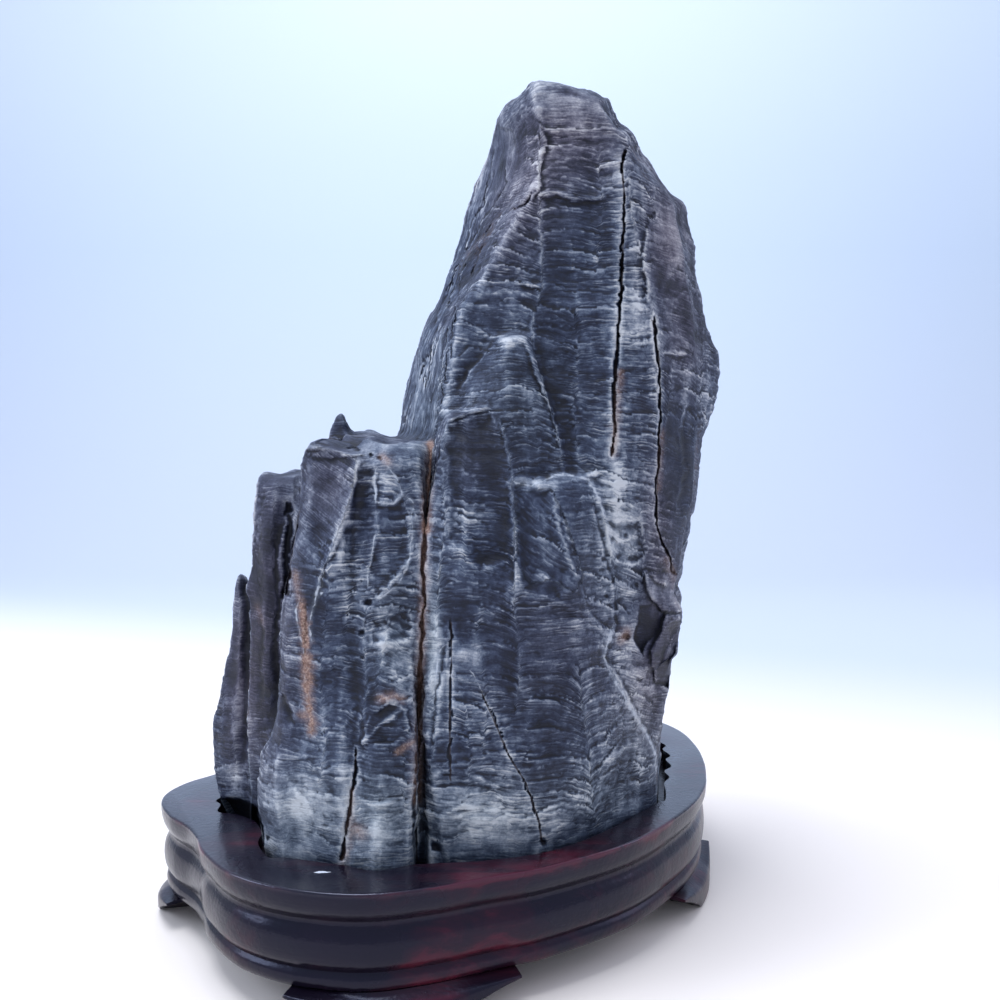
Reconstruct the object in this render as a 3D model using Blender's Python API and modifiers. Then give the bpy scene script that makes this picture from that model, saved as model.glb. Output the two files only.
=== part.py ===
"""Scholars rock on a carved rosewood stand, about 0.44 m high. Metres, +Z up.

The stone is one solid, joined from upright slabs and columns that are lofts between level
sections. The stand is a lobed plate with a moulded side, a recess for the stone and five
bracket feet. +X is to the right of the stone's front, and -Y is its front.
"""
import math

import bmesh
import bpy
import numpy as np
from mathutils import Vector, noise

MM = 0.001

# Driving dimensions, in mm
PLATE_TOP = 60.0          # height of the stand's upper face
BODY_HEIGHT = 44.0        # moulded body, from its underside to the upper face
FOOT_HEIGHT = PLATE_TOP - BODY_HEIGHT
RECESS_DEPTH = 11.0       # how far the stone sits down into the plate
GAP = 0.3                 # clearance kept between pieces that touch
OUTLINE_COUNT = 74        # points round the stand's plan
ROCK_VOXEL = 2.3          # grid that the stone's slabs are joined on
ROCK_TRIANGLES = 6300     # facets of the finished stone
SWELL_SIZE = 46.0         # spacing of the stone's broad swells and hollows
SWELL_DEPTH = 2.2
LEDGE_SPACING = 19.0      # height between the stone's bedding ledges
LEDGE_DEPTH = 1.1

# Plan of the stand's upper edge, in mm, counter-clockwise from the cusp between its lobes
CUSP = (-117.5, -79.0)
FRONT_AND_RIGHT = [
    (-110, -95), (-90, -120), (-62, -135.5), (-30, -141), (-2, -134.5), (24, -123.5),
    (51, -111.5), (92, -82), (123.5, -41), (141, -4), (150, 42), (151.5, 81), (147, 112),
]
BACK = [
    (134, 135), (108, 147), (78, 147), (48, 137), (18, 121), (-14, 109), (-50, 101),
    (-84, 84), (-112, 56),
]
LEFT_LOBE = [(-135, 20), (-148, 3), (-153.3, -14), (-151, -30), (-141, -48), (-127, -64)]

# Side of the stand: depth below the upper face and step out (+) or in (-) from the outline
MOULDING = [
    (0.0, -0.9), (0.9, 0.0), (6.5, -0.4), (10.8, -1.9), (13.4, -4.0), (15.4, -4.6),
    (17.6, -3.6), (20.5, -2.0), (26.0, -1.2), (31.0, -1.7), (34.0, -3.1), (35.8, -4.3),
    (37.0, -3.2), (39.5, -2.5), (42.4, -3.0), (44.0, -4.6),
]

# Recess for the stone, in mm, counter-clockwise; its right and left edges are chipped
RECESS = [
    (-95, -57), (-88, -72), (-86.5, -86), (-78, -102), (-70, -102.8), (-43, -111), (-27, -117),
    (-11, -110.5), (8, -108), (24, -105), (50, -95.5), (77, -72.5), (109, -33), (115, -27),
    (118, -12), (119.5, 2), (124, 12), (123, 23), (128.5, 32), (127.5, 45), (131.5, 53),
    (129, 66), (132, 76), (122, 92), (96, 100), (52, 98), (4, 88), (-42, 76), (-84, 50),
    (-108, 24), (-121, 2), (-118, -12), (-123, -26), (-119, -33), (-117, -44), (-106, -48),
]

# Feet: name, the point of the plan each is centred on, and its length along the outline
FEET = [
    ("foot_front", (-12, -138), 104),
    ("foot_right", (139, -8), 84),
    ("foot_back_right", (122, 141), 84),
    ("foot_back_left", (-60, 97), 84),
    ("foot_left", (-152, -10), 84),
]
FOOT_FLAT = 0.34          # share of a foot's half length that stands on the ground
FOOT_WALL = 15.0          # thickness from its face inward
# Face of a foot: height as a share of the foot, step from the outline
FOOT_FACE = [(1.0, -4.4), (0.88, -2.6), (0.74, 0.8), (0.62, 2.2), (0.4, 2.4), (0.0, 2.2)]

# Slabs of the stone. Each is a list of levels: height, fall of that level towards the
# front and towards the right (mm per mm), and the section's corners counter-clockwise.
BASE = PLATE_TOP - RECESS_DEPTH + GAP
MAIN_PEAK = [
    (BASE, 0, 0, [(-5, -98), (64, -78), (92, -52), (110, -29), (118, 12), (127, 74),
                  (52, 90), (-26, 66), (-36, 30)]),
    (85, 0, 0, [(-5, -96), (66, -79), (94, -54), (112, -28), (118, 10), (127, 72),
                (52, 91), (-26, 67), (-36, 30)]),
    (120, 0, 0, [(-5, -92), (70, -80), (98, -56), (116, -26), (124, 6), (126, 68),
                 (54, 89), (-22, 67), (-35, 30)]),
    (170, 0, 0, [(-5, -84), (76, -78), (104, -56), (120, -28), (128, 4), (122, 62),
                 (58, 87), (-20, 66), (-33, 30)]),
    (220, 0, 0, [(-2, -73), (84, -77), (108, -56), (129, -27), (138, 6), (124, 60),
                 (62, 84), (-14, 66), (-32, 31)]),
    (246, 0, 0, [(0, -66), (85, -73), (109, -55), (131, -26), (142, 7), (126, 59),
                 (63, 82), (-12, 66), (-33, 32)]),
    (270, 0, 0, [(2, -62), (86, -68), (108, -54), (132, -25), (145.5, 8), (128, 58),
                 (64, 80), (-8, 66), (-28, 33)]),
    (297, 0, 0, [(5, -59), (87, -63), (106, -52), (130, -25), (148.5, 9), (129, 56),
                 (65, 77), (-2, 65), (-24, 33)]),
    (312, 0, 0, [(8, -58), (88, -60), (104, -50), (128, -26), (144.5, 10), (128, 54),
                 (66, 74), (2, 64), (-17, 33)]),
    (350, 0, 0, [(30, -54), (90, -54), (101, -48), (122, -27), (137.5, 12), (122, 50),
                 (66, 66), (12, 60), (0, 34)]),
    (380, 0, 0, [(46, -50), (90, -50), (97, -46), (115, -24), (128, 12), (113, 46),
                 (66, 60), (20, 56), (8, 34)]),
    (392, 0, 0, [(48, -48), (90, -47), (97, -41), (108, -20), (118.5, 8), (106, 42),
                 (66, 56), (24, 52), (12, 33)]),
    (407, 0, 0, [(49, -46), (86, -45), (93, -37), (101, -14), (108, 8), (98, 34),
                 (66, 49), (30, 45), (18, 30)]),
    (422, 0, 0, [(44, -43), (75, -42), (84, -28), (91, -10), (98, 8), (88, 26),
                 (66, 35), (38, 30), (26, 12)]),
    (433, 0.04, 0.03, [(45, -35), (62, -36), (76, -26), (83, -12), (84, 2), (76, 13),
                       (62, 19), (46, 15), (36, 2)]),
]
FRONT_LEFT_SLAB = [
    (BASE, 0, 0, [(5, -101), (22, -102), (46, -91), (50, -60), (0, -60)]),
    (74, 0, 0, [(-1, -103), (22, -104), (48, -94), (50, -60), (-4, -60)]),
    (120, 0, 0, [(-6, -99), (20, -103), (42, -99), (46, -55), (-6, -55)]),
    (200, 0, 0, [(-6, -88), (13, -96), (36, -95), (40, -50), (-6, -50)]),
    (248, 0, 0, [(0, -79), (13, -86), (30, -84), (36, -48), (-2, -48)]),
    (263, 0, -0.12, [(2, -76), (13, -82), (25, -78), (26, -50), (2, -50)]),
]
FRONT_SHOULDER = [
    (180, 0, 0, [(8, -92), (45, -94), (66, -84), (66, -50), (6, -50)]),
    (246, 0, 0, [(6, -72), (32, -83), (57, -77), (62, -50), (4, -50)]),
    (272, 0, 0, [(12, -68), (30, -79), (48, -74), (54, -50), (8, -50)]),
    (290, 0, 0, [(21, -64), (30, -74), (42, -71), (46, -48), (16, -48)]),
    (300, 0.1, 0, [(26, -62), (32, -69), (40, -67), (42, -48), (24, -48)]),
]
FAN_SLAB = [
    (BASE, 0, 0, [(50, -90), (76, -69), (107, -32), (100, 0), (40, -40)]),
    (66, 0, 0, [(50, -93), (77, -70), (109.5, -31), (101, 0), (40, -40)]),
    (100, 0, 0, [(44, -99), (76, -80), (109, -35), (104, 0), (38, -40)]),
    (142, 0, 0, [(36, -101), (68, -92), (98, -52), (108, -10), (32, -40)]),
    (182, 0, 0, [(32, -99), (60, -96), (84, -70), (104, -40), (30, -40)]),
    (222, 0, 0, [(34, -92.5), (56, -93), (76, -79), (98, -50), (32, -40)]),
    (233, 0.1, -0.12, [(37, -86), (56, -88), (74, -75), (90, -50), (36, -40)]),
]
RIGHT_BLOCK = [
    (138, 0, 0, [(90, -60), (111, -49), (120, -28), (117, 0), (88, -10)]),
    (164, 0, 0, [(94, -58), (112, -47), (123.5, -25), (120, 4), (90, -10)]),
    (178, 0.1, 0.5, [(98, -52), (104, -44), (114, -24), (112, 0), (94, -10)]),
]
RIGHT_LUMP = [
    (96, 0, 0, [(96, -46), (109, -36), (115, -18), (112, 0), (94, -10)]),
    (124, 0, 0, [(99, -47), (116, -33), (122, -14), (118, 4), (96, -8)]),
    (140, 0, 0, [(98, -48), (113, -37), (119, -18), (114, 0), (94, -10)]),
]
LEFT_COLUMN = [
    (100, 0, 0, [(-83, -74), (-76, -95), (-60, -102), (-43, -106), (-38, -50), (-82, -50)]),
    (122, 0, 0, [(-79, -72), (-74, -90), (-58, -97), (-42, -101), (-38, -50), (-76, -50)]),
    (165, 0, 0, [(-76, -70), (-70, -84), (-60, -89), (-45, -92), (-38, -50), (-73, -48)]),
    (182, 0, 0, [(-73, -70), (-67, -83), (-58, -88), (-44, -91), (-38, -48), (-71, -46)]),
    (200, 0, 0, [(-70, -68), (-63, -80), (-54, -84), (-46, -92), (-36, -48), (-69, -46)]),
    (236, 0, 0, [(-67, -64), (-61, -75), (-50, -79), (-38, -89), (-34, -48), (-66, -46)]),
    (247, 0.16, 0, [(-64, -62), (-58, -70), (-49, -73), (-40, -81), (-38, -50), (-60, -48)]),
]
LEFT_FOOT_BLOCK = [
    (BASE, 0, 0, [(-83, -84), (-70, -98.5), (-58, -102), (-42, -107.5), (-36, -60), (-86, -54)]),
    (64, 0, 0, [(-85, -86), (-71, -100), (-58, -104), (-41, -109), (-36, -60), (-89, -56)]),
    (86, 0, 0, [(-88, -80), (-76, -99), (-58, -104), (-41, -108), (-36, -60), (-88, -54)]),
    (104, 0, 0, [(-86, -77), (-76, -96.5), (-58, -102.5), (-42, -106), (-36, -60), (-85, -54)]),
    (110, 0, 0, [(-80, -74), (-74, -93), (-58, -99), (-43, -103), (-38, -60), (-80, -54)]),
]
SECOND_COLUMN = [
    (BASE, 0, 0, [(-39, -108), (-27, -114), (-12, -106.5), (-11, -50), (-40, -50)]),
    (64, 0, 0, [(-40, -109), (-27, -115), (-12, -108), (-11, -50), (-40, -50)]),
    (84, 0, 0, [(-38, -106), (-26, -111), (-11.5, -104), (-11, -50), (-42, -50)]),
    (125, 0, 0, [(-43, -96), (-26, -104), (-11.5, -97), (-11, -50), (-44, -50)]),
    (170, 0, 0, [(-48, -86), (-27, -96), (-11, -91), (-10, -48), (-48, -48)]),
    (210, 0, 0, [(-48, -79), (-26, -90), (-10.5, -86), (-9.5, -46), (-48, -46)]),
    (240, 0, 0, [(-44, -76), (-25, -86), (-10, -80), (-8, -44), (-44, -44)]),
    (250, 0.1, 0.1, [(-40, -68), (-26, -76), (-12, -70), (-8, -44), (-40, -44)]),
]
REAR_BLOCK = [
    (BASE, 0, 0, [(-58, -70), (-4, -74), (10, 20), (-30, 58), (-78, 36), (-88, -20)]),
    (120, 0, 0, [(-58, -66), (-4, -68), (10, 20), (-28, 60), (-76, 38), (-86, -18)]),
    (190, 0, 0, [(-56, -60), (-2, -62), (10, 20), (-26, 54), (-66, 34), (-74, -16)]),
    (243, 0, 0, [(-53, -56), (0, -58), (10, 16), (-24, 40), (-56, 22), (-62, -14)]),
    (253, 0.05, 0.09, [(-50, -48), (-3, -46), (4, 10), (-24, 30), (-48, 16), (-54, -14)]),
]
KNOB = [
    (238, 0, 0, [(-62, -40), (-52, -42), (-47, -30), (-54, -20), (-63, -26)]),
    (255, 0, 0, [(-59, -37), (-53, -38), (-50, -30), (-54, -24), (-59, -28)]),
    (264, 0, 0, [(-57, -33), (-55, -34), (-53, -31), (-55, -28), (-57, -30)]),
]
SECOND_SLAB = [
    (BASE, 0, 0, [(-99, -50), (-84, -64), (-66, -60), (-62, -6), (-88, 8), (-100, -10)]),
    (110, 0, 0, [(-100, -50), (-86, -62), (-66, -58), (-62, -6), (-88, 8), (-102, -12)]),
    (170, 0, 0, [(-100, -46), (-88, -58), (-66, -56), (-62, -8), (-86, 4), (-101, -14)]),
    (206, 0, 0, [(-100, -42), (-89, -55), (-66, -54), (-62, -10), (-84, 0), (-99, -16)]),
    (226, 0, 0, [(-95, -40), (-86, -50), (-66, -50), (-62, -14), (-80, -6), (-94, -18)]),
    (233, 0.05, 0, [(-93, -36), (-84, -44), (-68, -44), (-64, -18), (-78, -12), (-90, -22)]),
]
SPIRE = [
    (BASE, 0, 0, [(-112, -36), (-96, -42), (-84, -20), (-92, 14), (-110, 4)]),
    (61, 0, 0, [(-119, -34), (-100, -43), (-84, -20), (-92, 16), (-116, 4)]),
    (72, 0, 0, [(-124, -32), (-104, -44), (-84, -20), (-93, 16), (-122, 2)]),
    (100, 0, 0, [(-126, -28), (-108, -42), (-84, -20), (-96, 12), (-124, 0)]),
    (116, 0, 0, [(-122, -28), (-107, -40), (-84, -20), (-96, 9), (-120, -2)]),
    (142, 0, 0, [(-119, -27), (-108, -36), (-90, -20), (-99, 4), (-117, -5)]),
    (166, 0, 0, [(-115, -25), (-109, -30), (-98, -20), (-104, -8), (-113, -12)]),
    (178, 0, 0, [(-112, -23), (-110, -25), (-107, -20), (-109, -15), (-112, -18)]),
]
BACK_SLAB = [
    (BASE, 0, 0, [(0, 60), (70, 50), (104, 72), (92, 94), (44, 96), (8, 85)]),
    (130, 0, 0, [(4, 60), (70, 50), (104, 70), (90, 98), (46, 100), (8, 88)]),
    (196, 0, 0, [(12, 60), (70, 50), (100, 66), (86, 92), (50, 96), (18, 84)]),
    (228, 0.1, 0.1, [(26, 60), (70, 50), (92, 62), (78, 82), (52, 86), (30, 78)]),
]
BACK_RIB = [
    (BASE, 0, 0, [(-30, 40), (8, 50), (4, 84), (-20, 78), (-40, 66)]),
    (140, 0, 0, [(-28, 40), (10, 50), (6, 86), (-14, 82), (-36, 64)]),
    (252, 0, 0, [(-18, 40), (16, 50), (16, 78), (0, 78), (-20, 62)]),
    (300, 0.1, 0.1, [(-2, 44), (24, 50), (28, 70), (14, 74), (0, 64)]),
]
BACK_RIGHT_STEP = [
    (BASE, 0, 0, [(96, 30), (122, 40), (125, 76), (112, 90), (88, 84)]),
    (150, 0, 0, [(98, 30), (126, 38), (128, 70), (110, 88), (88, 80)]),
    (262, 0, 0, [(100, 26), (134, 34), (128, 66), (108, 80), (90, 70)]),
    (286, 0.1, 0.2, [(104, 30), (128, 38), (122, 60), (106, 70), (94, 64)]),
]
SLABS = [
    MAIN_PEAK, FRONT_LEFT_SLAB, FRONT_SHOULDER, FAN_SLAB, RIGHT_BLOCK, RIGHT_LUMP,
    LEFT_COLUMN, LEFT_FOOT_BLOCK, SECOND_COLUMN, REAR_BLOCK, KNOB, SECOND_SLAB, SPIRE,
    BACK_SLAB, BACK_RIB, BACK_RIGHT_STEP,
]

# Clefts cut into the stone: mouth line as (x, y, z) points from the top down, the
# direction it runs inward in plan, its depth and the width of its mouth
CLEFTS = [
    ([(90, -62, 396), (89.5, -62, 350), (88.5, -66, 300), (86, -74, 262), (84.5, -82, 238)],
     (0.0, 1.0), 34, 4.2),
    ([(101, -60, 330), (104, -62, 305), (108, -66, 275), (111, -68, 246), (108, -68, 205)],
     (-0.15, 1.0), 28, 4.0),
    ([(-38.5, -118, 112), (-39.5, -120, 86), (-41.5, -122, 56)],
     (0.1, 1.0), 26, 4.6),
    ([(30, 108, 300), (26, 108, 240), (24, 112, 180), (22, 112, 110)],
     (0.1, -1.0), 42, 4.4),
    ([(-88, -72, 196), (-87, -76, 150), (-88, -80, 112)],
     (0.3, 1.0), 22, 4.4),
]


def clear_scene():
    for old in list(bpy.data.objects):
        bpy.data.objects.remove(old, do_unlink=True)


def make_collection(name):
    collection = bpy.data.collections.new(name)
    bpy.context.scene.collection.children.link(collection)
    return collection


def make_material(name, colour, roughness, coat):
    material = bpy.data.materials.new(name)
    material.use_nodes = True
    shader = material.node_tree.nodes["Principled BSDF"]
    shader.inputs["Base Color"].default_value = (*colour, 1.0)
    shader.inputs["Roughness"].default_value = roughness
    shader.inputs["Metallic"].default_value = 0.0
    shader.inputs["Coat Weight"].default_value = coat
    return material


def object_from_bmesh(name, bm, collection, material=None):
    bmesh.ops.recalc_face_normals(bm, faces=bm.faces)
    mesh = bpy.data.meshes.new(name)
    bm.to_mesh(mesh)
    bm.free()
    made = bpy.data.objects.new(name, mesh)
    collection.objects.link(made)
    if material:
        mesh.materials.append(material)
    return made


def loft(rings):
    """Closed solid through rings of points that all have the same count."""
    bm = bmesh.new()
    rows = [[bm.verts.new(Vector(point) * MM) for point in ring] for ring in rings]
    count = len(rows[0])
    for lower, upper in zip(rows, rows[1:]):
        for i in range(count):
            j = (i + 1) % count
            bm.faces.new((lower[i], lower[j], upper[j], upper[i]))
    bm.faces.new(list(reversed(rows[0])))
    bm.faces.new(rows[-1])
    return bm


def apply_modifiers(made):
    """Bake an object's modifiers into its own mesh."""
    evaluated = made.evaluated_get(bpy.context.evaluated_depsgraph_get())
    baked = bpy.data.meshes.new_from_object(evaluated)
    made.modifiers.clear()
    made.data = baked


def join_solids(made, other, operation):
    modifier = made.modifiers.new("boolean", "BOOLEAN")
    modifier.operation = operation
    modifier.solver = "EXACT"
    modifier.object = other
    bpy.context.view_layer.update()
    apply_modifiers(made)


# The stand's outline

def smooth_run(points, steps):
    """Catmull-Rom curve through the points, with its ends left sharp."""
    ends = [points[0], *points, points[-1]]
    run = []
    for before, start, end, after in zip(ends, ends[1:], ends[2:], ends[3:]):
        for step in range(steps):
            t = step / steps
            run.append(tuple(
                0.5 * (2 * b + (c - a) * t + (2 * a - 5 * b + 4 * c - d) * t * t
                       + (3 * b - a - 3 * c + d) * t * t * t)
                for a, b, c, d in zip(before, start, end, after)))
    run.append(points[-1])
    return run


def even_points(run, count):
    """Points spaced evenly along a run, which keep its first point and drop its last."""
    path = np.array(run)
    along = np.concatenate([[0.0], np.cumsum(np.hypot(*np.diff(path, axis=0).T))])
    stops = np.linspace(0.0, along[-1], count, endpoint=False)
    return np.column_stack([np.interp(stops, along, path[:, axis]) for axis in (0, 1)])


def stand_outline(count):
    run = smooth_run([CUSP, *FRONT_AND_RIGHT, *BACK, *LEFT_LOBE, CUSP], 12)
    return even_points(run, count)


def outward_steps(outline):
    """For each outline point, the mitred direction that moves its two sides out by 1."""
    before = outline - np.roll(outline, 1, axis=0)
    after = np.roll(outline, -1, axis=0) - outline
    normals = []
    for edge in (before, after):
        unit = edge / np.linalg.norm(edge, axis=1)[:, None]
        normals.append(np.column_stack([unit[:, 1], -unit[:, 0]]))
    middle = normals[0] + normals[1]
    middle /= np.linalg.norm(middle, axis=1)[:, None]
    mitre = np.clip((middle * normals[0]).sum(axis=1), 0.6, 1.0)
    return middle / mitre[:, None]


# The stand

def make_stand_body(collection, cutters, material):
    outline = stand_outline(OUTLINE_COUNT)
    outward = outward_steps(outline)
    rings = []
    for depth, step in reversed(MOULDING):
        ring = outline + outward * step
        rings.append([(x, y, PLATE_TOP - depth) for x, y in ring])
    body = object_from_bmesh("stand_body", loft(rings), collection, material)
    floor = PLATE_TOP - RECESS_DEPTH
    levels = [[(x, y, z) for x, y in RECESS] for z in (floor, PLATE_TOP + 5)]
    recess = object_from_bmesh("recess_cutter", loft(levels), cutters)
    hide_cutter(recess)
    join_solids(body, recess, "DIFFERENCE")
    return body


def hide_cutter(cutter):
    cutter.hide_render = True
    cutter.display_type = "WIRE"


def make_foot(name, centre, length, collection, material):
    """Bracket foot: a piece of the outline's curve, with ends that sweep up to the body."""
    fine = stand_outline(600)
    outward = outward_steps(fine)
    spacing = np.linalg.norm(fine[1] - fine[0])
    middle = int(np.argmin(np.linalg.norm(fine - np.array(centre), axis=1)))
    half = length / 2 / spacing
    stations = 11
    rings = []
    for station in range(stations):
        share = 2 * station / (stations - 1) - 1
        at = (middle + round(share * half)) % len(fine)
        scoop = max(0.0, (abs(share) - FOOT_FLAT) / (1 - FOOT_FLAT))
        top = FOOT_HEIGHT - GAP
        lift = (top - 2.0) * scoop ** 0.8
        face = [(lift + (top - lift) * height, step) for height, step in FOOT_FACE]
        points = [(*(fine[at] + outward[at] * step), z) for z, step in face]
        points.append((*(fine[at] - outward[at] * FOOT_WALL), lift))
        points.append((*(fine[at] - outward[at] * (FOOT_WALL + 2)), top))
        rings.append(points)
    return object_from_bmesh(name, loft(rings), collection, material)


# The stone

def slab_rings(levels):
    rings = []
    for height, fall_front, fall_right, corners in levels:
        middle = np.mean(corners, axis=0)
        rings.append([
            (x, y, height + fall_front * (y - middle[1]) - fall_right * (x - middle[0]))
            for x, y in corners])
    return rings


def cleft_rings(mouth, inward, depth, width):
    """Wedge sections: wide at the mouth, an edge at the bottom of the cleft."""
    along = Vector((inward[0], inward[1], 0)).normalized()
    side = Vector((along.y, -along.x, 0))
    rings = []
    for point in mouth:
        start = Vector(point)
        rings.append([
            start + side * width / 2, start + along * depth + side * 0.4,
            start + along * depth - side * 0.4, start - side * width / 2])
    return rings


def weather(made):
    """Broad swells over the whole stone, and bedding ledges across its faces."""
    mesh = made.data
    normals = [vertex.normal.copy() for vertex in mesh.vertices]
    moved = []
    for vertex, normal in zip(mesh.vertices, normals):
        at = vertex.co / MM
        swell = noise.noise(Vector((at.x, at.y, at.z * 0.6)) / SWELL_SIZE)
        wander = 9.0 * noise.noise(Vector((at.x, at.y, at.z * 0.3)) / 60.0)
        bed = (at.z + wander) / LEDGE_SPACING
        ledge = (bed - math.floor(bed)) ** 2 * noise.noise(Vector((at.x, at.y, bed * 40)) / 35.0)
        held = min(1.0, max(0.0, (at.z - PLATE_TOP - 4) / 14.0))
        push = held * (SWELL_DEPTH * swell + LEDGE_DEPTH * 2.0 * ledge)
        moved.extend(vertex.co + normal * push * MM)
    mesh.vertices.foreach_set("co", moved)
    mesh.update()


def flatten_foot(made):
    """The stone's underside is level, so that it rests on the recess floor."""
    for vertex in made.data.vertices:
        if vertex.co.z < (BASE + 1.2) * MM:
            vertex.co.z = BASE * MM


def make_rock(collection, cutters, material):
    """Slabs that overlap, welded to one skin, cut by clefts, weathered and faceted."""
    bm = bmesh.new()
    for levels in SLABS:
        slab = bpy.data.meshes.new("slab")
        shell = loft(slab_rings(levels))
        bmesh.ops.recalc_face_normals(shell, faces=shell.faces)
        shell.to_mesh(slab)
        shell.free()
        bm.from_mesh(slab)
        bpy.data.meshes.remove(slab)
    mesh = bpy.data.meshes.new("rock")
    bm.to_mesh(mesh)
    bm.free()
    rock = bpy.data.objects.new("rock", mesh)
    collection.objects.link(rock)
    weld_skin(rock)
    for number, (mouth, inward, depth, width) in enumerate(CLEFTS, 1):
        wedge = loft(cleft_rings(mouth, inward, depth, width))
        cutter = object_from_bmesh(f"cleft_cutter_{number}", wedge, cutters)
        hide_cutter(cutter)
        join_solids(rock, cutter, "DIFFERENCE")
    weld_skin(rock)
    weather(rock)
    flatten_foot(rock)
    thin = rock.modifiers.new("facets", "DECIMATE")
    thin.use_collapse_triangulate = True
    thin.ratio = ROCK_TRIANGLES / (2 * len(rock.data.polygons))
    bpy.context.view_layer.update()
    apply_modifiers(rock)
    rock.data.materials.clear()
    rock.data.materials.append(material)
    return rock


def weld_skin(made):
    """One closed skin round everything the slabs fill."""
    remesh = made.modifiers.new("weld_slabs", "REMESH")
    remesh.mode = "VOXEL"
    remesh.voxel_size = ROCK_VOXEL * MM
    bpy.context.view_layer.update()
    apply_modifiers(made)


def centre_on_origin(pieces):
    """Put the origin under the middle of the whole object, at the feet."""
    corners = np.array([vertex.co[:] for piece in pieces for vertex in piece.data.vertices])
    low, high = corners.min(axis=0), corners.max(axis=0)
    shift = Vector((-(low[0] + high[0]) / 2, -(low[1] + high[1]) / 2, -low[2]))
    for piece in pieces:
        for vertex in piece.data.vertices:
            vertex.co += shift


def main():
    clear_scene()
    parts = make_collection("scholars_rock_on_stand")
    cutters = make_collection("cutters")
    stone = make_material("slate_grey_stone", (0.055, 0.065, 0.085), 0.75, 0.0)
    wood = make_material("lacquered_rosewood", (0.022, 0.008, 0.009), 0.3, 0.6)
    pieces = [make_rock(parts, cutters, stone), make_stand_body(parts, cutters, wood)]
    for name, centre, length in FEET:
        pieces.append(make_foot(name, centre, length, parts, wood))
    centre_on_origin(pieces)


main()
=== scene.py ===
import math

import bmesh
import bpy
import numpy as np
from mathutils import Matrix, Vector


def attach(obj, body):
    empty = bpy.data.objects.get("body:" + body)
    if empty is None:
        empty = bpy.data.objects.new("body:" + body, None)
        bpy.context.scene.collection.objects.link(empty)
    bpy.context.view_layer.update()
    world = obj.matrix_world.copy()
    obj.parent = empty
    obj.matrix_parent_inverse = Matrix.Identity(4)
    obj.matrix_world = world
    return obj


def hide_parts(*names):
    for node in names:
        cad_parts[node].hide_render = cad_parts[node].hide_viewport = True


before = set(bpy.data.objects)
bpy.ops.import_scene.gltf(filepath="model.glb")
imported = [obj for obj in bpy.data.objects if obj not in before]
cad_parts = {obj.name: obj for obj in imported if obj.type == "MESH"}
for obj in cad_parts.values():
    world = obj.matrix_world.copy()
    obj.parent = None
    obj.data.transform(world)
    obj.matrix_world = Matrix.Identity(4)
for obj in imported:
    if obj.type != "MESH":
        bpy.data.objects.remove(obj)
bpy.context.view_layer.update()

mm = 0.001
shiftX, shiftY = 2.07, -3.65        # from the drawings' origin to the model's, in mm

# The front drawing: a sheet of 1000 by 1000 units seen from one point, u to the right, v down
drawing = {
    "eye": (27.6 + shiftX, -550.0 + shiftY, 242.0),        # mm
    "pitch": math.atan(0.043),                             # looking slightly down
    "focus": 1000.0,
    "middle": 500.0,
}


# Small tools

def linear(hexColour):
    # sRGB hex to the linear values that shaders use
    parts = [int(hexColour[i:i + 2], 16) / 255 for i in (1, 3, 5)]
    return tuple(c / 12.92 if c <= 0.04045 else ((c + 0.055) / 1.055) ** 2.4 for c in parts) + (1.0,)


def fill(tree, node, inputs):
    # an input takes a plain value, a node's first output or one given output
    for socket, value in inputs.items():
        if isinstance(value, (int, float, tuple)):
            node.inputs[socket].default_value = value
        else:
            tree.links.new(getattr(value, "outputs", [value])[0], node.inputs[socket])


def addNode(tree, kind, inputs=None, **settings):
    node = tree.nodes.new("ShaderNode" + kind)
    for name, value in settings.items():
        setattr(node, name, value)
    fill(tree, node, inputs or {})
    return node


def calculate(tree, operation, *values, clamp=False):
    return addNode(tree, "Math", dict(enumerate(values)), operation=operation, use_clamp=clamp)


def rescale(tree, value, low, high, start=0.0, end=1.0, kind="LINEAR"):
    # low becomes start and high becomes end; what lies beyond them is held there
    return addNode(tree, "MapRange", {0: value, 1: low, 2: high, 3: start, 4: end}, interpolation_type=kind)


def vectorMath(tree, operation, output, *values):
    return addNode(tree, "VectorMath", dict(enumerate(values)), operation=operation).outputs[output]


def stretch(tree, place, scale, location=(0.0, 0.0, 0.0)):
    return addNode(tree, "Mapping", {"Vector": place, "Scale": scale, "Location": location})


def noise(tree, place, scale, detail, roughness=0.5, distortion=0.0):
    return addNode(tree, "TexNoise", {"Vector": place, "Scale": scale, "Detail": detail,
                                      "Roughness": roughness, "Distortion": distortion})


def blend(tree, share, a, b):
    return addNode(tree, "Mix", {0: share, 6: a, 7: b}, data_type="RGBA", clamp_factor=True).outputs[2]


def ramp(tree, value, stops):
    node = addNode(tree, "ValToRGB", {0: value})
    elements = node.color_ramp.elements
    for place, _ in stops[1:-1]:
        elements.new(place)
    for element, (place, colour) in zip(elements, stops):
        element.position = place
        element.color = linear(colour)
    return node


def newMaterial(name):
    material = bpy.data.materials.new(name)
    material.use_nodes = True
    tree = material.node_tree
    return material, tree, tree.nodes["Principled BSDF"]


def selectOnly(piece):
    if bpy.context.object and bpy.context.object.mode != "OBJECT":
        bpy.ops.object.mode_set(mode="OBJECT")
    bpy.ops.object.select_all(action="DESELECT")
    piece.select_set(True)
    bpy.context.view_layer.objects.active = piece


def applyModifier(piece, kind, **settings):
    selectOnly(piece)
    modifier = piece.modifiers.new(kind.lower(), kind)
    for name, value in settings.items():
        setattr(modifier, name, value)
    bpy.ops.object.modifier_apply(modifier=modifier.name)


def dress(piece, node, material):
    piece.data.materials.clear()
    piece.data.materials.append(material)
    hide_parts(node)
    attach(piece, "root")


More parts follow.
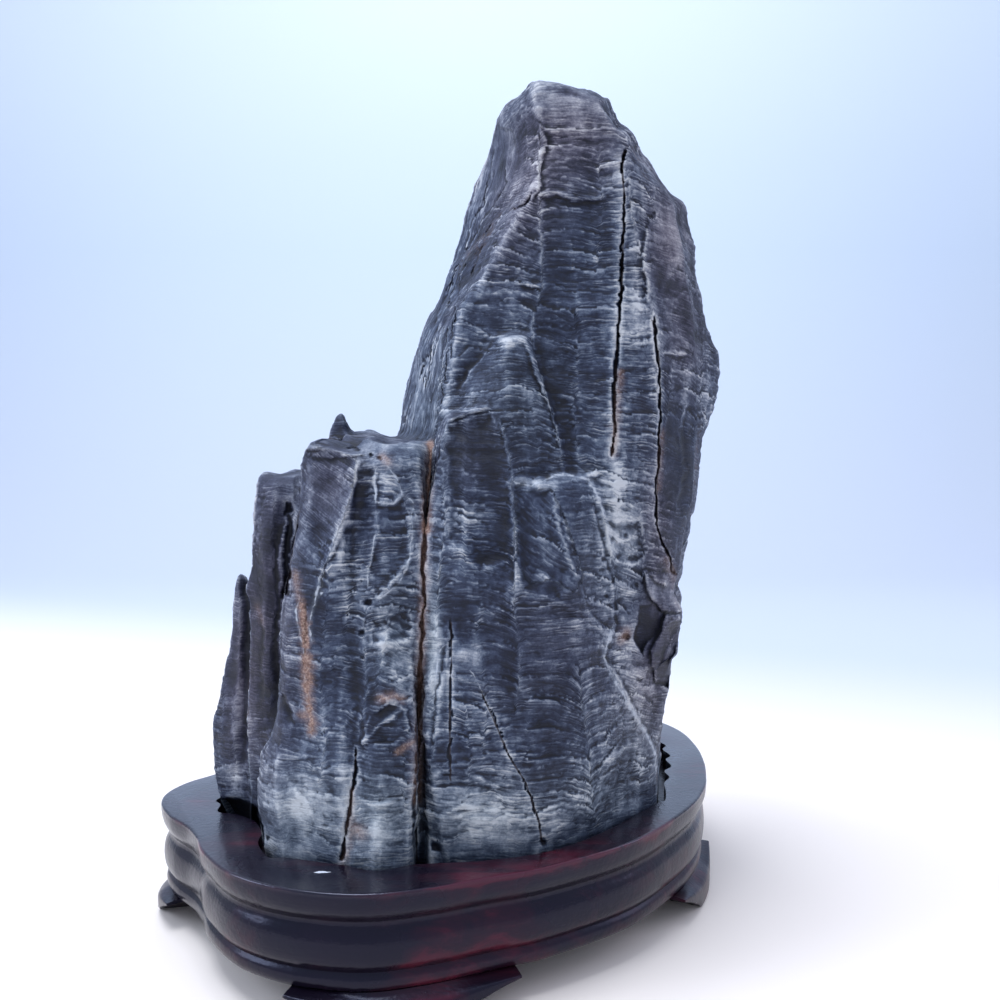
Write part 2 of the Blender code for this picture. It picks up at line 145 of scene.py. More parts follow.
def readPoints(piece, what="co"):
    values = np.empty(len(piece.data.vertices) * 3)
    if what == "co":
        piece.data.vertices.foreach_get("co", values)
    else:
        piece.data.vertex_normals.foreach_get("vector", values)
    return values.reshape(-1, 3)


def smoothStep(low, high, value):
    t = np.clip((value - low) / (high - low), 0.0, 1.0)
    return t * t * (3 - 2 * t)


def grain(x, y, z, seed):
    # seeded noise from -1 to 1 on a unit grid, for whole arrays at once
    place = np.stack([x, y, z], axis=-1)
    cell = np.floor(place)
    t = place - cell
    t = t * t * t * (t * (t * 6 - 15) + 10)
    cell = cell.astype(np.int64).astype(np.uint32)
    total = np.zeros(len(x))
    for i in (0, 1):
        for j in (0, 1):
            for k in (0, 1):
                mix = ((cell[:, 0] + np.uint32(i)) * np.uint32(374761393)
                       + (cell[:, 1] + np.uint32(j)) * np.uint32(668265263)
                       + (cell[:, 2] + np.uint32(k)) * np.uint32(2147483647)
                       + np.uint32(seed * 974634777 % 4294967296))
                mix = (mix ^ (mix >> np.uint32(13))) * np.uint32(1274126177)
                mix = (mix ^ (mix >> np.uint32(16))) * np.uint32(2246822519)
                mix = mix ^ (mix >> np.uint32(15))
                weight = (np.where(i, t[:, 0], 1 - t[:, 0]) * np.where(j, t[:, 1], 1 - t[:, 1])
                          * np.where(k, t[:, 2], 1 - t[:, 2]))
                total += weight * (mix / 4294967295.0)
    return total * 2 - 1


# The stone

stoneWork = {
    "voxel": 0.95,               # mm, grid of the first skin
    "softenFacets": 7,           # smoothing passes over the solid's flat facets
    "triangles": 196000,
    "swell": 1.3,                # mm, broad wander of the faces
    "folds": 2.4,                # mm, tall upright folds round the sides and back
    "flutes": 0.8,               # mm, upright ribs and hollows
    "flakes": 0.55,              # mm, step from one split layer to the next
    "clefts": 4.5,               # mm, depth of the upright cracks round the sides and back
    "ledges": [(10.5, 0.95), (4.6, 0.52), (2.3, 0.28)],    # mm between ledges, mm they stand out
    "grit": 0.10,                # mm
    "held": (61, 72),            # mm, heights between which the skin starts to weather
    "arrisDrop": 2.2,            # how many times the drawn depth or height is carved
    "scoopDepth": 1.7,
    "ribHeight": 1.3,
    "flankDrop": 2.6,            # mm, beside each fold of the left flank
    "flankCrack": 2.4,           # mm
}

# Pulls that bring the skin to the drawn outline: place, half width, half height, move right, down
pulls = [
    (508, 112, 24, 26, -8, -2), (544, 86, 14, 8, 0, -2), (572, 88, 12, 10, 0, 3), (602, 97, 8, 7, 5, 0),
    (622, 116, 12, 12, -2, 7), (642, 146, 12, 10, 0, 6), (678, 204, 8, 12, 5, 0),
    (454, 272, 16, 40, -4, 0), (430, 330, 14, 24, -4, 0), (702, 275, 10, 36, -5, 0),
    (410, 404, 16, 40, -5, 0), (320, 446, 22, 14, 0, -7), (304, 458, 12, 16, -6, 0),
    (252, 540, 8, 44, 4, 0), (343, 424, 8, 9, 0, -7), (330, 434, 6, 9, -2, 0), (354, 435, 6, 5, 1, 0),
    (352, 421, 5, 6, -4, 2), (370, 432, 14, 8, 0, -4), (262, 480, 9, 10, -1, -4), (276, 474, 16, 6, 0, 3),
    (250, 586, 8, 12, -6, 3), (714, 392, 16, 46, 8, 0), (692, 545, 12, 34, -3, 0),
    (682, 622, 12, 26, 5, 0), (680, 662, 10, 14, 5, 0), (684, 586, 8, 8, -4, 0), (228, 660, 10, 44, 4, 0),
    (241, 578, 6, 8, 0, -5), (257, 585, 8, 20, 4, 0),
]

# Clefts and cracks on the front drawing: points, half width in units, depth in mm
cracks = [
    ([(431, 444), (429, 460), (427, 485), (424, 512), (424, 530)], 3.2, 1.5),
    ([(424, 505), (425, 540), (425, 600), (420, 680), (417, 740), (415, 800), (417, 864)], 2.9, 6.5),
    ([(624, 148), (622, 170), (624, 196), (623, 233), (622, 274), (620, 308), (617, 342), (615, 396),
      (613, 457)], 1.7, 8.0),
    ([(652, 315), (659, 359), (662, 410), (659, 475), (659, 529), (668, 552), (678, 578)], 1.3, 5.0),
    ([(357, 747), (355, 770), (351, 802), (345, 835), (341, 864)], 1.7, 6.0),
    ([(451, 618), (452, 650), (450, 690), (450, 740), (451, 785)], 0.9, 2.4),
    ([(480, 690), (494, 720), (509, 756), (526, 783), (539, 822), (542, 846)], 0.9, 2.6),
    ([(306, 600), (305, 640), (306, 668)], 0.9, 1.4),
    ([(302, 505), (296, 540), (290, 575), (288, 600)], 1.4, 3.0),
]

# Long folds down the left flank, each with a fine crack beside it in places
flankFolds = [
    [(536, 189), (526, 206), (502, 216), (485, 240), (475, 271), (458, 315), (451, 342)],
    [(509, 152), (507, 182), (495, 206), (482, 223), (463, 260), (455, 291), (441, 328), (431, 359),
       (421, 396)],
    [(496, 140), (492, 172), (485, 206), (472, 220), (466, 247), (451, 288), (441, 308), (434, 339),
       (418, 386)], [(470, 250), (460, 290), (446, 330), (440, 380), (434, 430)],
    [(452, 345), (446, 380), (444, 415)],
]

# Upright ribs that the layers bend and break across: points, jump of the layers in mm,
# drag beside the rib in mm, height in mm, half width in units
ribs = [
    ([(541, 122), (538, 160), (540, 200), (541, 233), (543, 288), (532, 325), (532, 352), (543, 386),
      (553, 412), (563, 460)], 2.2, 2.4, 0.9, 4),
    ([(628, 150), (630, 206), (641, 260), (651, 301), (657, 376), (660, 430)], 1.8, -2.4, 0.9, 5),
    ([(575, 300), (578, 360), (574, 420), (580, 466)], 1.4, 1.6, 0.4, 6),
    ([(598, 140), (602, 210), (596, 280)], 1.1, 1.6, 0.3, 7),
    ([(515, 130), (508, 170), (512, 205)], 1.5, 1.6, 0.7, 5),
    ([(478, 200), (462, 250), (446, 300), (432, 350), (424, 400)], 1.0, 1.0, 0.9, 5),
    ([(496, 180), (478, 236), (462, 280)], 1.0, 1.0, 0.8, 5),
    ([(452, 300), (440, 350), (434, 410)], 1.0, 1.0, 0.9, 4),
    ([(447, 420), (443, 470), (446, 520), (440, 580), (437, 640)], 1.6, 1.6, 0.8, 4),
    ([(500, 418), (509, 460), (512, 499), (515, 535), (514, 600), (520, 660), (516, 720)], 2.0, 2.4, 0.6, 5),
    ([(578, 660), (580, 699), (590, 760), (592, 800), (598, 830)], 2.2, 4.5, 0.7, 7),
    ([(600, 500), (608, 545), (616, 590), (618, 620)], 1.6, -2.2, 0.9, 5),
    ([(640, 500), (646, 560), (641, 600)], 1.6, 1.2, 0.8, 5),
    ([(602, 658), (620, 682), (640, 722), (656, 752), (661, 792)], 2.4, -3.0, 0.9, 5),
    ([(482, 600), (476, 640), (488, 700), (482, 760)], 1.2, 1.6, 0.3, 8),
    ([(367, 600), (362, 640), (366, 690), (357, 745)], 1.6, 2.0, 0.9, 5),
    ([(330, 560), (326, 620), (320, 680), (326, 740), (318, 790)], 1.5, 1.6, 0.6, 6),
    ([(390, 600), (384, 650), (372, 690)], 1.3, -1.8, 0.7, 6),
    ([(286, 820), (285, 858)], 1.2, 1.0, 0.5, 3),
    ([(260, 500), (256, 560), (262, 620)], 1.5, 0.8, 1.1, 4),
    ([(276, 488), (272, 540), (276, 600), (270, 660), (272, 720)], 1.5, 0.8, 1.3, 5),
    ([(240, 600), (238, 660), (232, 720), (236, 770)], 1.5, 0.8, 0.9, 5),
    ([(226, 640), (224, 690), (222, 740)], 1.0, 0.8, 0.7, 4),
    ([(686, 395), (680, 430), (684, 470), (676, 520)], 1.5, 1.2, 0.9, 5),
    ([(668, 330), (672, 380), (666, 440), (670, 500)], 1.5, 1.2, 0.7, 5),
    ([(700, 290), (704, 340), (700, 400), (694, 460)], 1.2, 1.2, 0.8, 5),
    ([(430, 660), (436, 720), (430, 780)], 1.2, 1.2, 0.5, 4),
    ([(466, 700), (470, 760), (462, 820)], 1.2, 1.8, 0.3, 7),
]

# Raised ledges: points, half width in units, mm outward
beads = [
    ([(509, 483), (522, 480), (538, 483), (548, 478)], 4.5, 1.9),
    ([(548, 478), (565, 474), (585, 477), (604, 470)], 3.0, 1.1),
    ([(443, 419), (456, 414), (470, 412), (491, 406)], 3.0, 1.6),
    ([(410, 447), (424, 446), (440, 447)], 3.5, 1.0),
    ([(430, 450), (428, 472), (427, 495), (424, 518)], 3.4, 5.0),
    ([(536, 196), (556, 191), (576, 199), (606, 195)], 2.6, 0.9),
    ([(519, 282), (532, 286), (543, 286)], 2.0, 0.8), ([(500, 341), (512, 338), (526, 343)], 3.5, 1.0),
    ([(590, 478), (598, 500), (608, 530), (620, 540), (634, 534)], 3.0, 1.0),
    ([(620, 555), (632, 566), (644, 560)], 3.0, 0.9), ([(375, 464), (374, 485), (376, 504)], 1.8, 0.3),
    ([(376, 503), (392, 504), (404, 494)], 2.4, 0.5),
    ([(373, 600), (388, 588), (402, 574), (410, 556)], 2.6, 0.7),
    ([(372, 705), (384, 698), (400, 704)], 2.6, 1.0),
    ([(360, 745), (376, 728), (394, 716), (404, 704)], 2.2, 0.7),
    ([(278, 796), (292, 790), (306, 806), (312, 822)], 3.0, 0.7),
    ([(664, 352), (676, 356), (688, 352)], 2.0, 0.8),
    ([(430, 776), (452, 770), (476, 776), (500, 790)], 2.6, 0.6),
    ([(440, 812), (470, 806), (500, 812), (524, 820)], 2.6, 0.6),
    ([(360, 800), (378, 806), (398, 800)], 2.4, 0.6), ([(546, 600), (566, 604), (590, 618)], 2.4, 0.5),
]

# Arrises where one side drops: points, which side drops (+1 is left of a line drawn down,
# or below one drawn to the right), drop in mm, reach in units
arrises = [
    ([(529, 117), (541, 128), (545, 148), (538, 170), (538, 189), (526, 206)], -1, 1.0, 12),
    ([(526, 206), (505, 240), (481, 274), (466, 306), (456, 336), (449, 398)], 1, 1.0, 14),
    ([(536, 198), (556, 193), (576, 201), (606, 197)], 1, 0.8, 9),
    ([(519, 283), (543, 288)], 1, 0.8, 8),
    ([(524, 341), (528, 352), (535, 373), (543, 386), (553, 412), (563, 450)], 1, 1.3, 18),
    ([(458, 396), (471, 372), (492, 352), (505, 338)], -1, 0.9, 12),
    ([(444, 422), (466, 414), (491, 409)], 1, 2.2, 20),
    ([(500, 418), (509, 460), (512, 499), (515, 535), (514, 590)], 1, 0.6, 16),
    ([(545, 484), (580, 477), (604, 473)], 1, 0.6, 12),
    ([(551, 500), (560, 535), (572, 568), (587, 612), (602, 630), (614, 640)], -1, 0.5, 14),
    ([(590, 500), (600, 545), (612, 590), (614, 622), (602, 658), (620, 682), (640, 722),
      (656, 752), (661, 792)], -1, 0.9, 12),
    ([(358, 458), (354, 492), (345, 518), (333, 552), (322, 568), (316, 596)], -1, 0.9, 18),
    ([(375, 467), (375, 510), (378, 535), (372, 552), (367, 588)], -1, 0.4, 13),
    ([(301, 452), (315, 455), (330, 456), (345, 454), (357, 457)], 1, 0.8, 8),
    ([(300, 592), (283, 600), (279, 640), (284, 690), (298, 726)], 1, 1.6, 12),
    ([(662, 204), (648, 226), (643, 254), (645, 274), (650, 308)], 1, 1.2, 16),
    ([(664, 352), (682, 354), (686, 350)], 1, 1.2, 7),
    ([(686, 395), (680, 430), (684, 470), (676, 520)], -1, 1.4, 11),
    ([(451, 640), (440, 690), (436, 740), (428, 770)], 1, 0.7, 10),
    ([(296, 500), (286, 520), (280, 560), (280, 600)], 1, 1.6, 9),
    ([(268, 490), (262, 530), (262, 580), (266, 640), (262, 700)], 1, 1.5, 9),
    ([(259, 752), (285, 757), (320, 755)], 1, 0.4, 10),
    ([(430, 784), (460, 780), (490, 784), (520, 786)], 1, 0.5, 10),
]

# Scooped faces: outline, depth in mm, width of the rim in units
scoops = [
    ([(302, 452), (320, 446), (357, 459), (353, 492), (344, 518), (330, 550), (318, 566),
      (306, 540), (300, 500)], 1.6, 14),
    ([(360, 462), (374, 468), (374, 510), (376, 534), (368, 560), (366, 600), (345, 590),
      (330, 560), (346, 524), (356, 494)], 0.3, 10),
    ([(378, 506), (404, 498), (410, 520), (409, 556), (398, 578), (374, 598), (370, 560),
      (380, 536)], 0.9, 10),
    ([(447, 426), (490, 414), (504, 440), (509, 490), (512, 560), (480, 572), (450, 540)], 1.6, 14),
    ([(513, 492), (552, 486), (562, 540), (574, 576), (560, 600), (520, 590)], 0.9, 12),
    ([(605, 520), (640, 520), (650, 550), (640, 566), (612, 560)], 1.4, 8),
    ([(370, 620), (410, 610), (412, 640), (372, 645)], 1.0, 8),
    ([(676, 262), (700, 290), (708, 340), (690, 350), (668, 330), (660, 290)], 1.2, 12),
    ([(285, 500), (294, 504), (292, 596), (281, 600)], 2.6, 6),
    ([(205, 792), (222, 797), (240, 798), (257, 806), (264, 826), (264, 856), (205, 850)], 8.0, 5),
]

# Flat broken facets: outline, extra lean in mm per unit to the right and downwards, lift in mm
facets = [
    ([(644, 572), (660, 582), (677, 592), (683, 612), (663, 612), (648, 596)], 0.06, -0.14, 3.4),
    ([(640, 604), (652, 604), (663, 612), (660, 630), (648, 642), (642, 656),
       (632, 638)], -0.20, 0.06, -2.2),
    ([(664, 614), (682, 614), (676, 664), (669, 690), (655, 682), (650, 650),
       (660, 632)], 0.14, 0.05, 1.0),
    ([(303, 450), (314, 441), (334, 436), (352, 442), (366, 452), (352, 456), (330, 449),
       (314, 451)], 0, 0, 0.3),
    ([(361, 745), (368, 716), (388, 704), (408, 708), (410, 730), (392, 744)], 0.0, 0.0, -0.8),
]

# Small round pits: place, radius in units, depth in mm
pits = [
    (367, 602, 4.5, 2.6), (361, 633, 4.0, 2.2), (371, 454, 2.6, 2.0), (267, 838, 3.4, 2.2),
    (380, 458, 2.4, 1.8), (625, 636, 4.4, 2.6), (436, 848, 7.0, 3.0), (543, 842, 4.0, 2.4),
    (533, 480, 1.6, 1.2), (604, 560, 3.0, 1.4), (618, 500, 3.0, 1.2), (626, 536, 3.4, 1.2),
    (606, 596, 2.6, 1.0), (637, 585, 3.2, 1.2), (650, 700, 3.4, 1.4), (640, 680, 3.0, 1.2),
]

# White veins: points, half width in mm
veins = [
    ([(375, 464), (374, 485), (376, 503), (390, 504), (403, 496), (406, 491)], 0.36),
    ([(380, 452), (388, 466), (398, 480), (403, 495), (413, 502), (411, 530), (410, 558),
      (400, 580), (378, 602)], 0.40),
    ([(376, 530), (372, 560), (368, 590)], 0.26),
    ([(325, 565), (320, 575), (315, 597), (310, 625), (312, 646)], 0.35),
    ([(325, 566), (322, 590), (318, 598)], 0.25),
    ([(614, 622), (603, 656), (612, 676), (626, 700), (640, 722), (655, 752), (660, 790)], 0.55),
    ([(510, 483), (532, 487), (548, 478), (565, 474), (590, 480), (600, 500), (604, 520)], 0.45),
    ([(300, 592), (296, 610), (306, 660), (310, 738)], 0.30),
    ([(449, 640), (440, 652), (436, 700)], 0.28),
    ([(470, 668), (484, 696), (500, 736)], 0.22),
]

# Rust: points, radius in units, strength
rust = [
    ([(431, 447), (429, 470), (427, 495), (426, 530)], 4.6, 3.0),
    ([(425, 540), (424, 600), (420, 680), (417, 760), (416, 800)], 4.6, 0.8),
    ([(296, 574), (298, 590), (301, 602)], 3.2, 0.7), ([(302, 606), (305, 625), (306, 646)], 3.0, 2.0),
    ([(307, 656), (308, 690)], 4.4, 1.7), ([(308, 690), (309, 712), (311, 732)], 3.6, 1.5),
    ([(300, 714), (314, 724)], 3.6, 0.9), ([(380, 699), (392, 696), (402, 699)], 4.4, 0.9),
    ([(352, 828), (362, 834)], 7.0, 0.7), ([(413, 742), (398, 752)], 3.0, 0.8),
    ([(620, 372), (618, 400), (614, 455)], 3.4, 0.7), ([(626, 632), (622, 640)], 5.0, 0.8),
    ([(353, 790), (348, 850), (342, 866)], 3.0, 0.6), ([(668, 560), (676, 580), (680, 604)], 4.0, 0.35),
    ([(382, 455), (388, 462)], 4.0, 0.7), ([(257, 606), (262, 622)], 2.6, 0.3),
    ([(664, 430), (660, 490)], 2.6, 0.4),
]

# Broad lighter and darker areas, partly the stone's own tone, partly painted shade in hollows and under
# ledges and painted highlight on lit caps and edges: place, half width, half height, amount
toneAndShadeSpots = [
    (662, 593, 16, 9, 0.20), (322, 500, 22, 44, -0.08), (400, 442, 36, 6, -0.12),
    # the spot of -1.20 paints the hollow under the spire near black, as painted shade
    (238, 820, 24, 16, -1.20), (252, 790, 9, 9, -0.16), (228, 786, 9, 10, 0.14), (335, 434, 7, 14, -0.24),
    (356, 441, 10, 8, -0.12), (428, 444, 12, 6, 0.16), (341, 425, 11, 12, -0.30),
    (475, 455, 26, 26, -0.12), (400, 446, 34, 6, -0.14), (512, 343, 14, 5, 0.26), (470, 412, 24, 4, 0.24),
    (470, 436, 22, 12, -0.16), (684, 460, 12, 50, -0.16), (272, 560, 16, 60, -0.22),
    (270, 680, 12, 50, -0.26), (492, 255, 24, 40, -0.14), (510, 380, 20, 26, -0.16),
    (664, 660, 12, 24, -0.12), (540, 535, 24, 28, 0.12), (515, 640, 46, 40, -0.10),
    (354, 565, 12, 34, 0.16), (393, 545, 14, 26, 0.10), (637, 295, 8, 46, 0.14), (532, 484, 18, 5, 0.10),
    (645, 625, 8, 16, -0.12), (396, 438, 20, 5, -0.10), (572, 105, 55, 26, 0.20),
    (500, 165, 28, 60, 0.12), (585, 160, 40, 26, 0.06), (575, 262, 50, 60, -0.06),
    (636, 285, 11, 60, 0.28), (616, 300, 6, 110, 0.16), (672, 232, 20, 36, 0.17),
    (690, 320, 16, 46, -0.10), (640, 420, 22, 60, 0.02), (430, 390, 22, 60, 0.14),
    (478, 200, 14, 60, 0.06), (468, 312, 18, 40, -0.16), (502, 385, 30, 40, -0.10),
    (575, 400, 36, 50, -0.02), (475, 462, 26, 44, -0.10), (478, 520, 22, 16, 0.22),
    (473, 428, 26, 5, 0.16), (534, 485, 26, 6, 0.42), (600, 478, 40, 12, 0.16), (615, 525, 26, 80, 0.30),
    (510, 660, 60, 60, -0.12), (470, 600, 30, 40, -0.08), (550, 740, 70, 50, -0.02),
    (615, 735, 26, 60, 0.10), (638, 700, 14, 60, 0.24), (650, 770, 14, 30, 0.14),
    (485, 822, 62, 32, 0.42), (436, 650, 7, 60, 0.42), (466, 655, 14, 12, 0.30), (600, 800, 40, 30, 0.16),
    (326, 500, 22, 50, 0.06), (338, 545, 8, 26, 0.20), (356, 570, 12, 44, 0.08), (392, 540, 18, 40, 0.06),
    (384, 640, 20, 26, 0.30), (325, 640, 24, 40, -0.02), (394, 670, 18, 24, 0.16),
    (360, 712, 5, 30, 0.22), (322, 720, 16, 24, 0.14), (392, 698, 12, 5, 0.20), (340, 700, 10, 40, 0.10),
    (318, 610, 12, 30, -0.16), (370, 790, 8, 30, -0.10), (390, 770, 12, 20, -0.12),
    (297, 811, 9, 8, 0.30), (230, 776, 12, 16, 0.30), (246, 640, 8, 40, -0.10), (350, 600, 14, 24, 0.20),
    (300, 812, 46, 46, 0.40), (380, 822, 32, 44, 0.32), (296, 802, 12, 12, 0.16), (290, 560, 8, 70, 0.16),
    (290, 660, 12, 40, 0.14), (270, 560, 20, 80, -0.18), (275, 700, 16, 50, -0.24),
    (238, 680, 20, 90, -0.04), (663, 592, 18, 12, 0.10), (649, 630, 12, 24, -0.42),
    (668, 655, 10, 26, 0.02), (688, 470, 14, 70, -0.18), (335, 444, 34, 7, 0.16), (402, 446, 38, 7, 0.24),
    (396, 480, 18, 14, 0.20), (582, 585, 12, 40, -0.10),
]

# Narrow lighter and darker strokes: painted shade under rims and ledges and beside folds, painted highlight
# on lit edges and ledge tops, and some pale streaks of the stone's own: points, half width in units, amount
shadeAndToneStrokes = [
    ([(450, 448), (470, 453), (486, 462), (499, 470)], 1.5, 0.15),
    ([(452, 457), (466, 461), (482, 468)], 1.2, 0.13), ([(455, 472), (476, 470), (498, 478)], 1.2, 0.12),
    ([(450, 438), (462, 445), (478, 449)], 1.0, 0.10),
    ([(556, 93), (575, 96), (595, 101), (611, 111)], 3.0, -0.14),
    ([(646, 573), (660, 582), (676, 591)], 2.0, 0.18), ([(647, 598), (656, 606), (664, 613)], 2.0, -0.16),
    ([(508, 478), (522, 475), (538, 479)], 1.6, 0.08), ([(508, 489), (522, 491), (538, 489)], 1.8, -0.16),
    ([(538, 90), (560, 91), (584, 96), (608, 103)], 2.6, -0.24),
    ([(536, 86), (560, 87), (586, 92)], 2.0, 0.10), ([(530, 118), (528, 140), (530, 160)], 3.0, 0.12),
    ([(536, 120), (543, 135), (540, 152)], 4.5, -0.18),
    ([(531, 201), (556, 197), (590, 203)], 3.0, -0.12), ([(530, 196), (556, 191), (594, 196)], 2.0, 0.12),
    ([(634, 235), (646, 270), (652, 310), (656, 370), (658, 420)], 4.0, 0.16),
    ([(652, 284), (676, 284), (698, 292)], 5.0, -0.16), ([(660, 353), (672, 351), (686, 354)], 2.2, 0.30),
    ([(664, 362), (668, 400), (670, 440)], 4.5, -0.20), ([(688, 360), (684, 400), (688, 440)], 4.0, 0.16),
    ([(706, 320), (710, 360), (706, 420)], 3.5, 0.14), ([(540, 470), (570, 464), (600, 468)], 5.0, 0.14),
    ([(612, 540), (626, 542), (640, 536)], 2.4, 0.20), ([(618, 630), (632, 636), (644, 640)], 4.0, -0.25),
    ([(675, 594), (680, 606), (682, 622)], 2.4, 0.16),
    ([(606, 622), (618, 660), (634, 700), (650, 728)], 4.0, 0.10),
    ([(412, 500), (414, 560), (412, 620), (410, 690)], 4.5, 0.14),
    ([(349, 450), (366, 462), (384, 474), (398, 486)], 3.0, 0.12),
    ([(299, 470), (298, 520), (292, 570)], 2.6, 0.10), ([(316, 452), (336, 450), (354, 458)], 2.2, 0.14),
    ([(342, 598), (350, 612), (362, 622)], 4.0, 0.16), ([(284, 600), (281, 640), (284, 684)], 2.2, -0.16),
    ([(360, 745), (376, 728), (398, 712)], 2.0, 0.16), ([(430, 560), (434, 600), (432, 640)], 4.0, 0.14),
    ([(438, 676), (428, 700), (428, 724)], 1.8, -0.14),
    ([(430, 742), (450, 744), (470, 742)], 2.4, -0.16), ([(444, 812), (462, 808), (484, 812)], 1.6, 0.14),
    ([(440, 822), (456, 818), (470, 822)], 1.6, 0.14), ([(448, 834), (462, 828), (480, 832)], 1.6, 0.12),
    ([(470, 240), (452, 290), (436, 340), (420, 390)], 3.0, 0.12),
    ([(476, 246), (458, 296), (442, 346), (428, 396)], 3.0, -0.14),
    ([(456, 268), (438, 318), (424, 360)], 2.6, -0.12),
    ([(496, 210), (480, 230), (466, 262)], 2.6, -0.12),
    ([(504, 156), (500, 182), (490, 204)], 2.6, -0.14), ([(232, 600), (228, 660), (222, 740)], 2.2, 0.10),
    ([(262, 500), (258, 560), (260, 640)], 2.4, 0.10),
]

# Places where the ledges are worn smooth: place, half width, half height, amount
calmSpots = [
    (662, 592, 16, 12, 1.0), (300, 812, 44, 44, 0.4), (500, 150, 20, 50, 0.5), (673, 240, 18, 40, 0.4),
    (575, 110, 46, 22, 0.3), (524, 484, 18, 7, 0.6), (614, 526, 20, 14, 0.8), (328, 505, 20, 44, 0.9),
    (510, 150, 16, 30, 0.4), (572, 105, 40, 16, 0.4), (335, 445, 30, 7, 1.0), (400, 442, 44, 9, 0.9),
    (275, 478, 22, 5, 1.0), (298, 520, 9, 60, 0.6), (286, 815, 26, 40, 0.55), (375, 835, 20, 30, 0.5),
    (480, 828, 60, 26, 0.4), (670, 235, 18, 34, 0.75), (685, 320, 16, 40, 0.5), (662, 592, 20, 12, 1.0),
    (650, 628, 14, 22, 1.0), (668, 655, 12, 26, 0.7), (508, 165, 18, 36, 0.6), (434, 650, 8, 60, 0.7),
    (532, 484, 24, 8, 0.9), (238, 680, 20, 90, 0.9), (272, 580, 20, 120, 0.9), (615, 560, 22, 50, 0.3),
    (520, 650, 60, 36, 0.35), (638, 700, 14, 60, 0.5), (318, 620, 16, 30, 0.5), (355, 640, 16, 18, 0.5),
    (466, 655, 14, 12, 0.7), (682, 470, 14, 60, 0.6),
]

# Swollen spots: place, radius in units, mm outward
bosses = [
    (648, 575, 5, 1.2), (612, 548, 9, 1.6), (625, 520, 9, 1.2), (618, 585, 8, 1.4), (604, 615, 7, 1.0),
    (640, 655, 9, 1.4), (652, 690, 8, 1.2), (640, 720, 8, 1.2), (656, 735, 7, 1.0), (384, 640, 14, 1.4),
    (350, 622, 9, 1.0), (292, 800, 10, 0.8), (462, 655, 10, 0.8), (540, 485, 9, 1.2), (678, 650, 8, 1.2),
    (672, 600, 10, 1.4), (505, 345, 10, 1.2),
]

# Purple-brown and green-grey casts: place, half width, half height, amount
warmCasts = [
    (575, 120, 60, 40, 0.7), (668, 235, 24, 50, 1.0), (685, 330, 24, 60, 0.7), (530, 190, 30, 50, 0.7),
    (580, 160, 50, 40, 0.4), (240, 680, 20, 100, 0.8), (500, 230, 24, 50, 0.4), (560, 640, 60, 60, 0.25),
    (330, 480, 30, 50, 0.6), (665, 620, 26, 60, 0.6), (650, 700, 24, 50, 0.7), (270, 600, 24, 140, 0.8),
    (660, 520, 16, 60, 0.7), (470, 450, 30, 40, 0.3),
]
limeCasts = [
    (485, 820, 66, 36, 1.0), (300, 820, 46, 44, 0.9), (380, 820, 34, 44, 1.0), (432, 650, 9, 70, 1.0),
    (600, 800, 40, 34, 0.6), (395, 640, 30, 60, 0.5), (520, 400, 40, 60, 0.35), (430, 420, 26, 60, 0.4),
    (640, 740, 26, 50, 0.4), (615, 540, 30, 60, 0.35),
]


def toDrawing(points):
    # where points in mm fall on the front drawing
    away = points - np.array(drawing["eye"])
    cosine, sine = math.cos(drawing["pitch"]), math.sin(drawing["pitch"])
    depth = away[:, 1] * cosine - away[:, 2] * sine
    rise = away[:, 1] * sine + away[:, 2] * cosine
    scale = drawing["focus"] / depth
    return drawing["middle"] + away[:, 0] * scale, drawing["middle"] - rise * scale


def alongLine(u, v, line):
    # distance to a line of points, side (+1 or -1), and how full the line is (0 at its ends)
    lengths = [math.dist(a, b) for a, b in zip(line, line[1:])]
    near = np.full(len(u), 1e9)
    side = np.zeros(len(u))
    along = np.zeros(len(u))
    before = 0.0
    for (au, av), (bu, bv), length in zip(line, line[1:], lengths):
        du, dv = (bu - au) / length, (bv - av) / length
        t = np.clip((u - au) * du + (v - av) * dv, 0, length)
        off = np.hypot(u - au - t * du, v - av - t * dv)
        closer = off < near
        near = np.where(closer, off, near)
        side = np.where(closer, np.sign(du * (v - av) - dv * (u - au)), side)
        along = np.where(closer, before + t, along)
        before += length
    ends = min(14.0, before / 3)
    return near, side, np.clip(np.minimum(along, before - along) / ends, 0, 1)


def around(u, v, points, reach):
    # which vertices lie within reach of a set of drawing points
    us, vs = zip(*points)
    return np.flatnonzero((u > min(us) - reach) & (u < max(us) + reach)
                          & (v > min(vs) - reach) & (v < max(vs) + reach))


def insidePolygon(u, v, outline):
    inside = np.zeros(len(u), bool)
    for (au, av), (bu, bv) in zip(outline, outline[1:] + outline[:1]):
        if av != bv:
            crosses = (av > v) != (bv > v)
            inside ^= crosses & (u < (bu - au) * (v - av) / (bv - av) + au)
    return inside


def nearLine(u, v, line, reach):
    # the points near a line, their distance and side, and how full the line is there
    at = around(u, v, line, reach)
    return at, *alongLine(u[at], v[at], line)


def ellipses(u, v, seen, spots):
    total = np.zeros(len(u))
    for cu, cv, ru, rv, amount in spots:
        total += amount * np.exp(-(((u - cu) / ru) ** 2 + ((v - cv) / rv) ** 2) * 0.9)
    return total * seen


def streaky(p, width, height, seed):
    # noise with grains of this width and height in mm
    return grain(p[:, 0] / width, p[:, 1] / width, p[:, 2] / height, seed)


def splitLayers(p):
    # the stone splits upright too: each whole number is one flake
    return 2.4 * streaky(p, 30, 130, 14) + 0.5 * streaky(p, 9, 24, 15)


# Zones where the layers don't lie level: slanting on the column, fanning below the front
# ledge and fluted down the left flank
column = [(296, 440), (358, 455), (353, 492), (344, 520), (326, 568), (290, 560)]
fan = [(514, 492), (552, 488), (566, 520), (584, 580), (572, 592), (548, 580), (530, 586), (516, 560)]
flank = [
    (380, 440), (420, 320), (470, 200), (488, 120), (512, 130), (520, 160), (500, 200), (484, 230),
    (468, 262), (452, 295), (442, 330), (438, 380), (436, 438),
]


